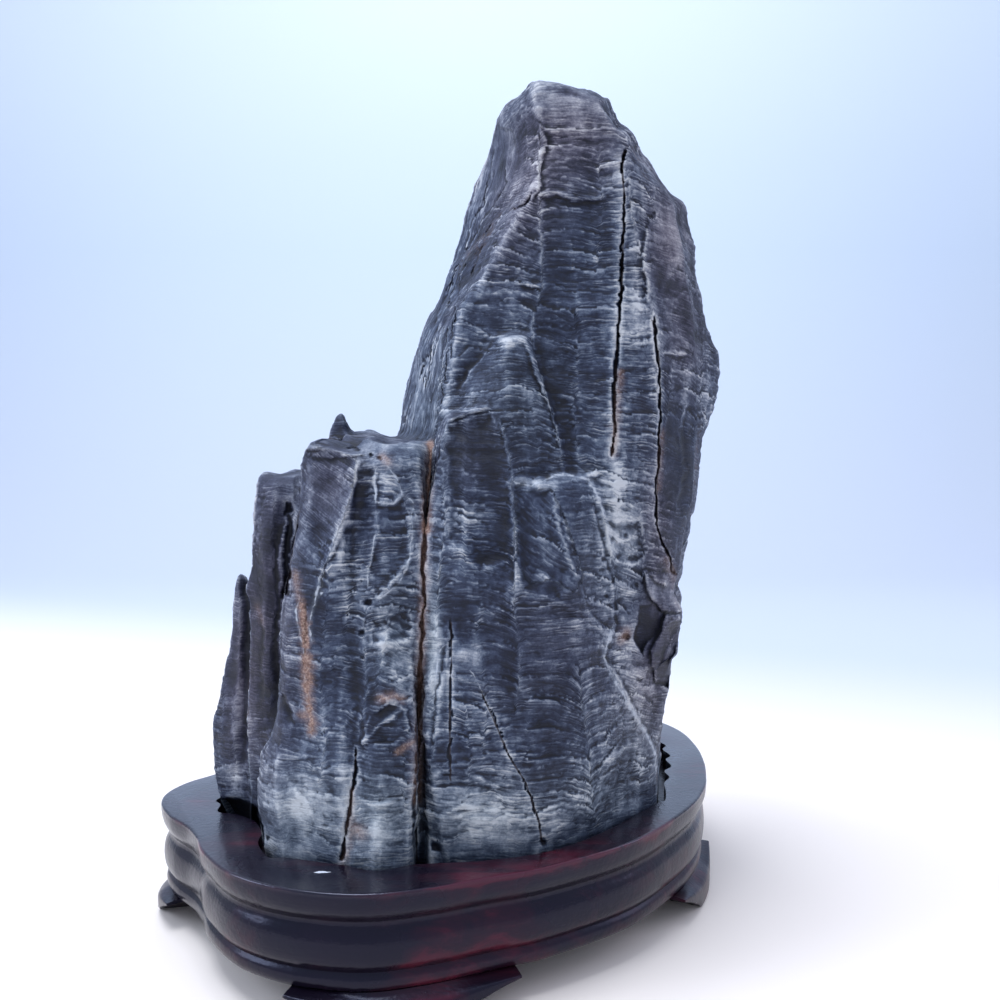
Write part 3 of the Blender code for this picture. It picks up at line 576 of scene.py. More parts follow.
def layers(p, u, v, seen):
    # along, across and through the layers: level, and turned in the three zones
    x, y, z = p.T
    warp = 5.0 * streaky(p, 70, 60, 3) + 1.5 * streaky(p, 22, 25, 4)
    # the layers break across upright folds, and bend beside the drawn ribs
    split = np.floor(splitLayers(p))
    warp += 2.4 * grain(7.3 * split, 0 * split, 0 * split + 0.5, 19)
    bendReach = 60
    for line, jump, drag, _, _ in ribs:
        at, near, side, full = nearLine(u, v, line, bendReach)
        fade = np.clip(1 - near / bendReach, 0, 1) ** 2
        warp[at] += full * (side * jump * fade + drag * np.exp(-near / 9)) * (seen[at] > 0.1)
    level = np.stack([x, y, z - 150 + warp + 0.12 * y], axis=-1)
    turned = level.copy()
    share = np.zeros(len(x))
    ways = [
        (column, 0.85 * x - 0.53 * z, 1.5 * (0.85 * z + 0.53 * x)),
        (fan, 0.80 * x - 0.60 * z, 0.80 * z + 0.60 * x - 0.0016 * (x - 36) ** 2),
        (flank, 0.38 * x + 0.92 * z, 0.42 * (0.62 * x - 0.30 * z - 0.8 * y)),
    ]
    for outline, along, through in ways:
        zone = insidePolygon(u, v, outline)
        turned[zone, 0] = along[zone]
        turned[zone, 2] = through[zone] + 0.6 * warp[zone]
        share[zone] = 1.0
    return level, turned, share * (seen > 0.25)


def openClefts(p, normals):
    # open where a slow noise crosses zero, and as wide in mm wherever it crosses
    x, y, z = p.T
    width = 1.5
    bent = 1.2 * streaky(p, 6, 9, 62)

    def slow(x, y):
        return grain(x / 34, y / 34, z / 170, 61)

    here = slow(x + bent, y + bent)
    aside = slow(x + bent - width * normals[:, 1], y + bent + width * normals[:, 0])
    slope = np.abs(aside - here) / width
    cleft = np.clip(1 - np.abs(here) / np.maximum(slope, 0.01) / width, 0, 1) ** 0.8
    cleft *= smoothStep(0.012, 0.025, slope)
    cleft *= smoothStep(-0.1, 0.25, streaky(p, 50, 60, 63))
    return cleft


def weather(p, normals, seen, turnedAway, strata, calm):
    # how far each point moves out along its normal, and the ledges alone
    a, b, c = strata.T
    upright = np.clip(1.15 - np.abs(normals[:, 2]), 0.25, 1)
    hidden = 1 - seen
    push = stoneWork["swell"] * streaky(p, 34, 50, 11)
    fold = streaky(p, 30, 150, 25) + 0.35 * streaky(p, 13, 60, 26)
    push += stoneWork["folds"] * turnedAway * (0.45 - 1.6 * np.abs(fold))
    flute = streaky(p, 11, 90, 12) + 0.5 * streaky(p, 6, 45, 13)
    push += stoneWork["flutes"] * (0.6 + 0.4 * hidden) * flute
    layer = splitLayers(p)
    step = np.floor(layer) + smoothStep(0.6, 1.0, layer - np.floor(layer))
    push += stoneWork["flakes"] * (0.35 + 0.65 * hidden) * step
    cleft = openClefts(p, normals)
    push -= stoneWork["clefts"] * cleft * turnedAway * smoothStep(0.5, 0.2, np.abs(normals[:, 2]))
    # ledges of uneven height: each swells upwards and breaks off at its top
    serrate = np.zeros(len(p))
    for spacing, height in stoneWork["ledges"]:
        phase = c / spacing + 0.8 * streaky(strata, 34, 2 * spacing, 16)
        phase += 0.14 * streaky(strata, 9, spacing, 17)
        share = phase - np.floor(phase)
        size = 6 + spacing
        bold = np.clip(0.3 + 1.1 * grain(a / size, b / size, np.floor(phase) * 5.3, 18), 0.05, 1.2)
        ledge = bold * (share ** 2.2 - 0.35)
        push += height * upright * ledge * (1 - 0.75 * calm)
        serrate += ledge * height
    rough = np.clip(0.5 + 0.8 * streaky(p, 20, 26, 20), 0.1, 1.4) * (1 - 0.6 * calm)
    push += rough * (0.30 * streaky(p, 5, 4, 21) + 0.16 * streaky(p, 2.4, 2.2, 22))
    push += stoneWork["grit"] * streaky(p, 1.6, 1.6, 23)
    return push * smoothStep(*stoneWork["held"], p[:, 2]), serrate


def carve(p, u, v, seen, serrate):
    # how far each point moves in along the line of sight, for everything that is drawn
    z = p[:, 2]
    sink = np.zeros(len(p))
    # drawn lines wander a little, and step in and out with the ledges
    wander = 1.6 * streaky(p, 6, 5, 30) + 0.8 * streaky(p, 2.5, 2.2, 31)
    wu, wv = u + wander + 2.2 * serrate, v + wander * 0.6
    for line, drops, drop, reach in arrises:
        at, near, side, full = nearLine(wu, wv, line, 3 * reach)
        fall = np.exp(-near / reach) * smoothStep(0, 3.6, near) * (side == drops)
        fall -= 0.12 * np.exp(-near / (0.4 * reach))
        sink[at] += stoneWork["arrisDrop"] * drop * fall * full * seen[at]
    for outline, depth, rim in scoops:
        at, near, _, _ = nearLine(wu, wv, outline + outline[:1], 2)
        t = np.clip(near / rim, 0, 1) * insidePolygon(wu[at], wv[at], outline)
        sink[at] += stoneWork["scoopDepth"] * depth * (1 - (1 - t) ** 2) * seen[at]
    for line, _, _, height, half in ribs:
        at, near, _, full = nearLine(wu, wv, line, 5 * half)
        rise = np.exp(-near / half) - 0.3 * np.exp(-near / (2.5 * half))
        sink[at] -= stoneWork["ribHeight"] * height * rise * full * seen[at]
    for line in flankFolds:
        at, near, side, full = nearLine(wu, wv, line, 24)
        sink[at] += stoneWork["flankDrop"] * np.exp(-near / 6) * (side > 0) * full * seen[at]
        broken = smoothStep(-0.3, 0.2, streaky(p[at], 9, 22, 35))
        sink[at] += stoneWork["flankCrack"] * np.clip(1 - near / 1.8, 0, 1) * broken * full * seen[at]
    for line, half, height in beads:
        at, near, _, full = nearLine(wu, wv, line, 3 * half)
        sink[at] -= height * np.exp(-(near / half) ** 2) * np.minimum(1, 2 * full) * seen[at]
    for cu, cv, radius, rise in bosses:
        sink -= rise * smoothStep(1.2, 0.1, np.hypot(wu - cu, wv - cv) / radius) * seen
    for cu, cv, radius, depth in pits:
        off = np.hypot(wu - cu, (wv - cv) * 0.9) / radius
        sink += depth * smoothStep(1.15, 0.25, off) * seen
    for line, half, depth in cracks:
        at = around(wu, wv, line, 7 * half + 8)
        ragged = wander[at] + 1.4 * streaky(p[at], 13, 15, 33)
        near, _, full = alongLine(u[at] + ragged, v[at], line)
        width = half * np.clip(0.85 + 0.9 * streaky(p[at], 7, 9, 32), 0.35, 1.5)
        groove = np.clip(1 - near / width, 0, 1) ** 0.7
        lip = -0.4 * half / 3 * np.exp(-((near - width) / (1.6 * half)) ** 2) * (near > width)
        sink[at] += (depth * groove + lip) * np.minimum(1, full * 2) * seen[at]
    # hollows end at the plate, but the one under the spire goes on down into the recess
    spireRight, recessLowest, plateLowest = 266, 46.0, 59.5
    lowest = np.where(u < spireRight, recessLowest, plateLowest)
    return sink * smoothStep(lowest, lowest + 2.5, z)


def flattenFacets(p, sight, u, v, seen):
    # each drawn facet is brought to the plane that lies best through it, with its own lean
    reach = ((p - np.array(drawing["eye"])) * sight).sum(axis=1)
    change = np.zeros(len(p))
    shiftedU = u + 1.8 * grain(u / 7, v / 7, 0 * u, 34)
    for outline, leanU, leanV, lift in facets:
        at = around(shiftedU, v, outline, 0)
        at = at[insidePolygon(shiftedU[at], v[at], outline) & (seen[at] > 0.3)]
        if len(at) < 20:
            continue
        cu, cv = u[at].mean(), v[at].mean()
        design = np.stack([np.ones(len(at)), u[at] - cu, v[at] - cv], axis=-1)
        plane = np.linalg.lstsq(design, reach[at], rcond=None)[0] + np.array([-lift, leanU, leanV])
        near, _, _ = alongLine(shiftedU[at], v[at], outline + outline[:1])
        change[at] = 0.9 * np.clip(design @ plane - reach[at], -5, 5) * np.clip(near / 1.5, 0, 1)
    return change


def signedNearest(u, v, lines):
    # distance in mm to the nearest line, signed so that it crosses zero cleanly between two
    # vertices; beside a line narrower than 0.4 mm it grows faster, to draw the line thinner
    far = 12.0
    best = np.full(len(u), far)
    for line, half in lines:
        at, near, side, full = nearLine(u, v, line, far)
        near = near * 0.4 / half + 14 * (1 - np.minimum(1, full * 4))
        closer = near < np.abs(best[at])
        best[at[closer]] = (near * np.where(side >= 0, 1, -1))[closer]
    return best * 0.5        # about half a millimetre to the unit


def storeValues(mesh, name, values):
    kind = "FLOAT" if values.ndim == 1 else "FLOAT_VECTOR"
    attribute = mesh.attributes.new(name, kind, "POINT")
    attribute.data.foreach_set("value" if kind == "FLOAT" else "vector", values.astype(np.float32).ravel())


def neighbourMean(values, edges, counts):
    columns = values.reshape(len(values), -1)
    total = np.zeros_like(columns)
    for a, b in ((0, 1), (1, 0)):
        for axis in range(columns.shape[1]):
            total[:, axis] += np.bincount(edges[:, a], columns[edges[:, b], axis], len(columns))
    return (total / counts[:, None]).reshape(values.shape)


def fineSkin():
    # a copy of the solid with a fine even skin, its facets softened
    selectOnly(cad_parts["rock"])
    bpy.ops.object.duplicate()
    stone = bpy.context.object
    for key in list(stone.keys()):
        if key.startswith("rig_"):
            del stone[key]
    stone.name = "scholars_rock"
    bpy.ops.object.mode_set(mode="EDIT")
    bpy.ops.mesh.select_all(action="SELECT")
    bpy.ops.mesh.remove_doubles(threshold=0.00001)
    bpy.ops.object.mode_set(mode="OBJECT")
    applyModifier(stone, "REMESH", mode="VOXEL", voxel_size=stoneWork["voxel"] * mm)
    applyModifier(stone, "SMOOTH", factor=0.5, iterations=stoneWork["softenFacets"])
    return stone


def pullToOutline(stone):
    # brings the skin to the drawn outline, and gives its points in mm
    p = readPoints(stone) / mm
    u, v = toDrawing(p)
    scale = np.linalg.norm(p - np.array(drawing["eye"]), axis=1) / drawing["focus"]
    for cu, cv, ru, rv, right, down in pulls:
        weight = np.exp(-((u - cu) / ru) ** 2 - ((v - cv) / rv) ** 2) * scale
        p[:, 0] += right * weight
        p[:, 2] -= down * weight
    stone.data.vertices.foreach_set("co", (p * mm).ravel())
    stone.data.update()
    return p


def seenShare(stone, p, normals, sight, facing, edges, counts):
    # 1 where the drawing's eye sees the skin, 0 where it is turned away or hidden
    seen = smoothStep(0.02, 0.30, facing)
    starts, rays = (p + normals * 0.8) * mm, -sight
    for i in np.flatnonzero(facing > 0.02):
        if stone.ray_cast(starts[i], rays[i])[0]:
            seen[i] = 0.0
    for _ in range(3):
        seen = 0.5 * seen + 0.5 * neighbourMean(seen, edges, counts)
    return seen


# after so many smoothing turns: mm that count as 1, the most that a ridge may count
ridgeScales = {1: (0.12, 1.7), 4: (0.26, 1.0), 11: (0.50, 0.6)}
swellTurns = 37


def heightsAbove(moved, normals, edges, counts):
    # ridges stand above the mean of their neighbourhood, hollows below it; then swells too
    ridge = np.zeros(len(moved))
    blurred = moved
    for turn in range(swellTurns):
        blurred = 0.4 * blurred + 0.6 * neighbourMean(blurred, edges, counts)
        if turn in ridgeScales:
            unit, most = ridgeScales[turn]
            ridge += np.clip(((moved - blurred) * normals).sum(axis=1) / unit, -3, most)
    return ridge, ((moved - blurred) * normals).sum(axis=1)


def toneOf(p, u, v, seen, through, swollen):
    # how much lighter or darker each point is than the bare stone, from its own tone and from painted shade
    # and highlight
    x, y, z = p.T
    # swells are painted lighter and broad hollows darker, as painted highlight and shade; the spots hold
    # painted shade and highlight as well as tone
    tone = ellipses(u, v, seen, toneAndShadeSpots) + 0.08 * np.clip(swollen / 0.8, -2.4, 0.8)
    tone += 0.12 * streaky(p, 30, 34, 41) + 0.10 * grain(x / 12, y / 12, through / 9, 42)
    tone += 0.10 * streaky(p, 5, 34, 47) + 0.07 * streaky(p, 2.6, 16, 48)
    straying = u + 2 * streaky(p, 5, 5, 49)
    for line, half, height in [(line, half, height) for line, _, _, height, half in ribs] + beads:
        at = around(u, v, line, 4 * half)
        near, _, full = alongLine(straying[at], v[at], line)
        tone[at] += 0.03 * min(height, 2) * np.exp(-(near / (0.9 * half)) ** 2) * full * seen[at]
    straying = u + 2 * streaky(p, 6, 8, 50)
    # the strokes paint shade under rims and ledges and highlight on lit edges, as well as pale streaks
    for line, half, amount in shadeAndToneStrokes:
        at = around(u, v, line, 4 * half)
        near, _, full = alongLine(straying[at], v[at], line)
        tone[at] += amount * np.exp(-(near / half) ** 2) * np.minimum(1, 2 * full) * seen[at]
    return tone + (1 - seen) * (0.04 + 0.14 * smoothStep(110, 70, z))


def rustOf(p, u, v, seen, ridge):
    stain = np.zeros(len(p))
    for line, radius, strength in rust:
        at, near, _, _ = nearLine(u, v, line, 3 * radius)
        stain[at] = np.maximum(stain[at], strength * np.exp(-(near / radius) ** 2) * seen[at])
    patches = smoothStep(0.45, 0.8, streaky(p, 20, 60, 44))
    return stain + (1 - seen) * 0.5 * patches * smoothStep(0.2, -0.8, ridge)


def makeStone():
    stone = fineSkin()
    mesh = stone.data
    p = pullToOutline(stone)
    z = p[:, 2]
    normals = readPoints(stone, "normals")
    u, v = toDrawing(p)
    sight = p - np.array(drawing["eye"])
    sight /= np.linalg.norm(sight, axis=1)[:, None]
    facing = -(sight * normals).sum(axis=1)
    edges = np.empty(len(mesh.edges) * 2, np.int64)
    mesh.edges.foreach_get("vertices", edges)
    edges = edges.reshape(-1, 2)
    counts = np.bincount(edges.ravel(), minlength=len(p)).astype(float)
    seen = seenShare(stone, p, normals, sight, facing, edges, counts)
    print("stone: skin of", len(p), "points")
    level, turned, share = layers(p, u, v, seen)
    strata = np.where(share[:, None] > 0.5, turned, level)
    calm = np.clip(ellipses(u, v, seen, calmSpots) + 0.6 * smoothStep(0.6, 0.85, normals[:, 2]), 0, 1)
    push, serrate = weather(p, normals, seen, smoothStep(0.0, -0.45, facing), strata, calm)
    sink = carve(p, u, v, seen, serrate) + flattenFacets(p, sight, u, v, seen)
    moved = p + normals * push[:, None] + sight * sink[:, None]
    mesh.vertices.foreach_set("co", (moved * mm).ravel())
    ridge, swollen = heightsAbove(moved, normals, edges, counts)
    print("stone: weathered and carved")
    tone = toneOf(p, u, v, seen, strata[:, 2], swollen)
    lime = ellipses(u, v, seen, limeCasts) + (1 - seen) * smoothStep(120, 70, z) * 0.8
    warm = ellipses(u, v, seen, warmCasts) + (1 - seen) * (0.35 + 0.5 * streaky(p, 40, 50, 43))
    wobble = 1.4 * streaky(p, 5, 5, 45) + 0.7 * streaky(p, 2, 2, 46)
    veinAway = np.where(seen > 0.3, signedNearest(u + wobble, v + wobble, veins), 15.0)
    crackLines = [(line, 0.4) for line, _, _ in cracks[1:]]
    crackAway = np.where(seen > 0.3, signedNearest(u, v, crackLines), 15.0)
    present = [np.clip(2.2 - np.abs(away), 0, 1) for away in (veinAway, crackAway)]
    values = {
        "strata": level,
        "turned": turned,
        "casts": np.stack([tone, lime, warm], axis=-1),
        "marks": np.stack([veinAway, crackAway, rustOf(p, u, v, seen, ridge)], axis=-1),
        "present": np.stack([*present, calm], axis=-1),
        "turnedShare": share.astype(float),
        "ridge": np.clip(ridge, -3, 3),
    }
    for name, stored in values.items():
        storeValues(mesh, name, stored)
    applyModifier(stone, "DECIMATE", ratio=stoneWork["triangles"] / (2.0 * len(mesh.polygons)),
                  use_collapse_triangulate=True)
    selectOnly(stone)
    bpy.ops.object.shade_smooth()
    print("stone:", len(stone.data.polygons), "triangles")
    return stone


slateLooks = {
    "middle": 0.415,             # tone of the bare stone, from 0 for darkest to 1 for palest
    "casts": 0.8,                # how far the purple-brown and green-grey casts can go
    "body": [(0.0, "#0f1527"), (0.25, "#1d253b"), (0.45, "#364057"), (0.62, "#5c677a"),
             (0.8, "#8e95a2"), (1.0, "#c6c9ce")],
    "warmBody": [(0.0, "#110e19"), (0.25, "#24202f"), (0.45, "#474150"), (0.62, "#706a75"),
                 (0.8, "#989298"), (1.0, "#c6c3c5")],
    "limeBody": [(0.0, "#171d28"), (0.25, "#2b3440"), (0.45, "#4b5663"), (0.62, "#6f7a87"),
                 (0.8, "#98a1aa"), (1.0, "#c4cacf")],
    "rust": [(0.3, "#634a43"), (0.5, "#8c6f64"), (0.72, "#bba598")],
    "calcite": "#c3cad5",
    "calciteHaze": "#a9b4c4",
    "crack": "#241719",
    # painted shade for the sharp hollows
    "hollowShade": "#0f111a",
    # how much each pattern changes the tone, and its own value where it changes nothing
    "patterns": {"fine": (0.40, 0.0), "broad": (0.26, 0.0), "streaks": (0.40, 0.5), "bands": (0.50, 0.5),
                 "spots": (0.40, 0.5), "clouds": (0.62, 0.5), "blots": (0.28, 0.5)},
    # how much each pattern raises the surface
    "relief": {"fine": 0.40, "broad": 0.42, "streaks": 0.34, "spots": 0.22},
    "reliefHeight": 0.0011,      # m
    "roughness": (0.50, 0.72),   # least and most
}


def makeSlate():
    # weathered slaty limestone, split and weather-worn: matt, dark blue-grey, with its fine ridges painted
    # paler as pale dust and painted highlight, its sharp hollows painted dark as shade, white calcite veins
    # and rust along its cracks
    material, tree, shader = newMaterial("weatheredSlatyLimestone")

    def read(name, output="Vector"):
        return addNode(tree, "Attribute", attribute_name=name).outputs[output]

    def apart(vector):
        return addNode(tree, "SeparateXYZ", {0: vector}).outputs

    def times(a, b):
        return calculate(tree, "MULTIPLY", a, b)

    def timesPlus(a, b, c):
        return calculate(tree, "MULTIPLY_ADD", a, b, c)

    tone, lime, warm = apart(read("casts"))
    veinAway, crackAway, stain = apart(read("marks"))
    veinHere, crackHere, calm = apart(read("present"))
    ridge = read("ridge", "Fac")
    place = addNode(tree, "TexCoord").outputs["Object"]
    turnedHere = calculate(tree, "GREATER_THAN", read("turnedShare", "Fac"), 0.5)
    layerPlace = addNode(tree, "Mix", {0: turnedHere, 4: read("strata"), 5: read("turned")},
                         data_type="VECTOR").outputs[1]
    through = apart(layerPlace)[2]

    def layered(alongSize, throughSize, seed, detail=2.0):
        # noise stretched along the layers, its sizes in mm
        scale = (1 / alongSize, 1 / alongSize, 1 / throughSize)
        return noise(tree, stretch(tree, layerPlace, scale, (seed, seed, seed)), 1.0, detail, 0.55)

    def ledgeLines(spacing, seed, calming):
        # fine ledges: each line swells, then breaks off sharply; they fade out and start again
        wave = timesPlus(layered(20.0, 5.0 * spacing, seed), 2.8, times(through, 1 / spacing))
        wave = timesPlus(layered(5.0, 2.0 * spacing, seed + 3), 0.6, wave)
        rise = calculate(tree, "POWER", calculate(tree, "FRACT", wave), 1.8)
        bold = rescale(tree, layered(8.0, 2.4 * spacing, seed + 7), 0.40, 0.62, 0.08, 1.0)
        patch = rescale(tree, layered(24.0, 16.0, seed + 11), 0.36, 0.62, 0.3, 1.25)
        bold = times(bold, times(patch, timesPlus(calm, -calming, 1.0)))
        return times(calculate(tree, "SUBTRACT", rise, 0.36), bold)

    patterns = {
        "fine": ledgeLines(1.7, 1.0, 0.5),
        "broad": ledgeLines(4.4, 21.0, 0.95),
        "streaks": layered(11.0, 1.0, 5.0, 3.0),
        "bands": layered(30.0, 8.0, 7.0, 3.0),
        "spots": noise(tree, place, 900.0, 3.0, 0.7),
        "clouds": noise(tree, place, 75.0, 4.0, 0.6),
        "blots": noise(tree, place, 260.0, 2.0, 0.6),
    }
    value = calculate(tree, "ADD", tone, slateLooks["middle"])
    for name, (amount, middle) in slateLooks["patterns"].items():
        value = calculate(tree, "ADD", value, timesPlus(patterns[name], amount, -amount * middle))
    # fine ridges are painted lighter, as painted highlight and pale dust
    sharp = times(ridge, timesPlus(calm, -0.06, 0.10))
    value = calculate(tree, "ADD", sharp, value, clamp=True)
    colour = ramp(tree, value, slateLooks["body"])
    for cast, name in ((warm, "warmBody"), (lime, "limeBody")):
        share = calculate(tree, "MULTIPLY", cast, slateLooks["casts"], clamp=True)
        colour = blend(tree, share, colour, ramp(tree, value, slateLooks[name]))
    # calcite: a thin line of uneven width, with a fainter spread on both sides
    away = calculate(tree, "ABSOLUTE", veinAway)
    haze = times(times(rescale(tree, away, 0.0, 2.0, 0.4, 0.0), patterns["spots"]), veinHere)
    colour = blend(tree, haze, colour, linear(slateLooks["calciteHaze"]))
    away = calculate(tree, "ADD", away, timesPlus(patterns["blots"], 3.2, -1.3))
    core = times(rescale(tree, away, 0.15, 0.8, 0.72, 0.0), veinHere)
    colour = blend(tree, core, colour, linear(slateLooks["calcite"]))
    away = calculate(tree, "ABSOLUTE", crackAway)
    away = calculate(tree, "ADD", away, timesPlus(patterns["clouds"], 1.6, -0.85))
    dark = times(rescale(tree, away, 0.15, 0.62, 0.9, 0.0), crackHere)
    colour = blend(tree, dark, colour, linear(slateLooks["crack"]))
    # sharp hollows are painted near black, as painted shade
    colour = blend(tree, rescale(tree, ridge, -2.4, -0.5, 0.7, 0.0), colour, linear(slateLooks["hollowShade"]))
    stained = calculate(tree, "MULTIPLY", stain, timesPlus(patterns["blots"], 1.5, 0.05), clamp=True)
    colour = blend(tree, stained, colour, ramp(tree, patterns["spots"], slateLooks["rust"]))
    relief = 0.0
    for name, amount in slateLooks["relief"].items():
        relief = timesPlus(patterns[name], amount, relief)
    fill(tree, shader, {
        "Base Color": colour,
        "Roughness": rescale(tree, patterns["bands"], 0.3, 0.7, *slateLooks["roughness"]),
        "IOR": 1.5,
        "Specular IOR Level": 0.35,
        "Normal": addNode(tree, "Bump", {"Strength": 1.0, "Distance": slateLooks["reliefHeight"],
                                         "Height": relief}),
    })
    return material


stone = makeStone()
dress(stone, "rock", makeSlate())


# The stand

standWork = {
    "plateTop": 60.0,            # mm, as are the next two
    "bodyHeight": 44.0,
    "recessDepth": 11.0,
    "outlinePoints": 420,        # round the whole stand
    "sharpFrom": 38,             # degrees between faces that meet in a sharp edge
    "worn": [(32.7, 0.5), (11.4, 0.4)],    # mm of each bead below the top, share of wear
    "footWall": 15.0,            # mm, as are the next two
    "footGap": 0.3,              # between a foot and the body above it
    "footToe": 2.0,              # left of a foot's height at its two ends
    "footFlat": 0.34,            # share of a foot's half length that stands on the floor
    "footStations": 33,          # sections along a foot
}

# Plan of the stand's upper edge in mm, counter-clockwise from the cusp between its lobes
cusp = (-117.5, -79.0)
planCurve = [
    cusp, (-110, -95), (-90, -120), (-62, -135.5), (-30, -141), (-2, -134.5), (24, -123.5),
    (51, -111.5), (92, -82), (123.5, -41), (141, -4), (150, 42), (151.5, 81), (147, 112),
    (134, 135), (108, 147), (78, 147), (48, 137), (18, 121), (-14, 109), (-50, 101),
    (-84, 84), (-112, 56), (-135, 20), (-148, 3), (-153.3, -14), (-151, -30), (-141, -48),
    (-127, -64), cusp,
]

# Side of the stand: depth below the top, and step in or out from the outline
moulding = [
    (0.0, -1.5), (0.12, -0.75), (0.45, -0.25), (1.0, 0.0), (3.5, -0.1), (6.5, -0.4), (8.8, -1.0),
    (10.8, -1.9), (12.4, -3.2), (13.4, -4.0), (14.4, -4.5), (15.4, -4.6), (16.5, -4.3),
    (17.6, -3.6), (19.0, -2.7), (20.5, -2.0), (23.0, -1.4), (26.0, -1.2), (28.6, -1.35),
    (31.0, -1.7), (32.7, -2.3), (34.0, -3.1), (35.1, -4.0), (35.8, -4.4), (36.3, -4.1),
    (37.0, -3.2), (38.2, -2.7), (39.5, -2.5), (41.0, -2.6), (42.4, -3.0), (43.4, -3.7), (44.0, -4.6),
]

recessPlan = [
    (-95, -57), (-88, -72), (-86.5, -86), (-78, -102), (-70, -102.8), (-43, -111), (-27, -117),
    (-11, -110.5), (8, -108), (24, -105), (50, -95.5), (77, -72.5), (109, -33), (115, -27),
    (118, -12), (119.5, 2), (124, 12), (123, 23), (128.5, 32), (127.5, 45), (131.5, 53),
    (129, 66), (132, 76), (122, 92), (96, 100), (52, 98), (4, 88), (-42, 76), (-84, 50),
    (-108, 24), (-121, 2), (-118, -12), (-123, -26), (-119, -33), (-117, -44), (-106, -48),
]

feet = [
    ("foot_front", (-12, -138), 104),
    ("foot_right", (139, -8), 84),
    ("foot_back_right", (122, 141), 84),
    ("foot_back_left", (-60, 97), 84),
    ("foot_left", (-152, -10), 84),
]
footFace = [
    (1.0, -4.4), (0.94, -3.7), (0.88, -2.6), (0.81, -0.8), (0.74, 0.8), (0.68, 1.7), (0.62, 2.2),
    (0.5, 2.45), (0.3, 2.4), (0.08, 2.3), (0.0, 1.6),
]


def curveThrough(points, steps):
    ends = [points[0], *points, points[-1]]
    run = []
    for before, start, end, after in zip(ends, ends[1:], ends[2:], ends[3:]):
        for step in range(steps):
            t = step / steps
            run.append(tuple(
                0.5 * (2 * b + (c - a) * t + (2 * a - 5 * b + 4 * c - d) * t * t
                       + (3 * b - a - 3 * c + d) * t * t * t)
                for a, b, c, d in zip(before, start, end, after)))
    run.append(points[-1])
    return np.array(run)


def standOutline(count):
    path = curveThrough(planCurve, 12)
    along = np.concatenate([[0.0], np.cumsum(np.hypot(*np.diff(path, axis=0).T))])
    stops = np.linspace(0.0, along[-1], count, endpoint=False)
    return np.column_stack([np.interp(stops, along, path[:, axis]) for axis in (0, 1)])


def outwardSteps(outline):
    before = outline - np.roll(outline, 1, axis=0)
    after = np.roll(outline, -1, axis=0) - outline
    sides = []
    for edge in (before, after):
        unit = edge / np.linalg.norm(edge, axis=1)[:, None]
        sides.append(np.column_stack([unit[:, 1], -unit[:, 0]]))
    middle = sides[0] + sides[1]
    middle /= np.linalg.norm(middle, axis=1)[:, None]
    return middle / np.clip((middle * sides[0]).sum(axis=1), 0.6, 1.0)[:, None]


def placeRing(piece, ring):
    # puts the selected ring of vertices, in their order round it, on new places in mm
    work = bmesh.from_edit_mesh(piece.data)
    chosen = sorted((vertex for vertex in work.verts if vertex.select), key=lambda vertex: vertex.index)
    for vertex, (x, y, z) in zip(chosen, ring):
        vertex.co = ((x + shiftX) * mm, (y + shiftY) * mm, z * mm)
    bmesh.update_edit_mesh(piece.data)


def extrudeRings(name, rings):
    # a closed solid drawn out ring by ring from a disc
    bpy.ops.object.select_all(action="DESELECT")
    bpy.ops.mesh.primitive_circle_add(vertices=len(rings[0]), radius=0.1, fill_type="NGON")
    piece = bpy.context.object
    piece.name = name
    bpy.ops.object.mode_set(mode="EDIT")
    bpy.ops.mesh.select_all(action="SELECT")
    placeRing(piece, rings[0])
    for ring in rings[1:]:
        bpy.ops.mesh.extrude_region_move()
        placeRing(piece, ring)
    bpy.ops.mesh.select_all(action="SELECT")
    bpy.ops.mesh.normals_make_consistent(inside=False)
    bpy.ops.object.mode_set(mode="OBJECT")
    return piece


def smoothFaces():
    bpy.ops.object.shade_smooth_by_angle(angle=math.radians(standWork["sharpFrom"]))


def makeStandBody():
    outline = standOutline(standWork["outlinePoints"])
    outward = outwardSteps(outline)
    top = standWork["plateTop"]
    x, y = outline.T
    rings = []
    for depth, step in reversed(moulding):
        # the lacquer lies a little uneven along the hand-cut mouldings
        level = np.full(len(x), depth / 14)
        waver = 0.16 * grain(x / 17, y / 17, level, 51) + 0.05 * grain(x / 5, y / 5, level, 52)
        ring = outline + outward * (step + waver)[:, None]
        rings.append([(a, b, top - depth) for a, b in ring])
    body = extrudeRings("stand_plate", rings)
    edge = curveThrough(recessPlan + recessPlan[:1], 8)[:-1]
    levels = (top - standWork["recessDepth"], top + 5)
    cutter = extrudeRings("recess", [[(a, b, z) for a, b in edge] for z in levels])
    applyModifier(body, "BOOLEAN", operation="DIFFERENCE", solver="EXACT", object=cutter)
    bpy.data.objects.remove(cutter)
    # the coat is rubbed thin along the upper edge and the two beads
    p = readPoints(body) / mm
    depth = top - p[:, 2]
    rubbed = smoothStep(0.05, 0.3, depth) * smoothStep(2.2, 0.9, depth)
    for bead, amount in standWork["worn"]:
        rubbed += amount * np.exp(-((depth - bead) / 1.2) ** 2)
    storeValues(body.data, "rubbed", rubbed * np.clip(0.6 + 0.9 * streaky(p, 16, 9, 53), 0, 1.3))
    smoothFaces()
    return body


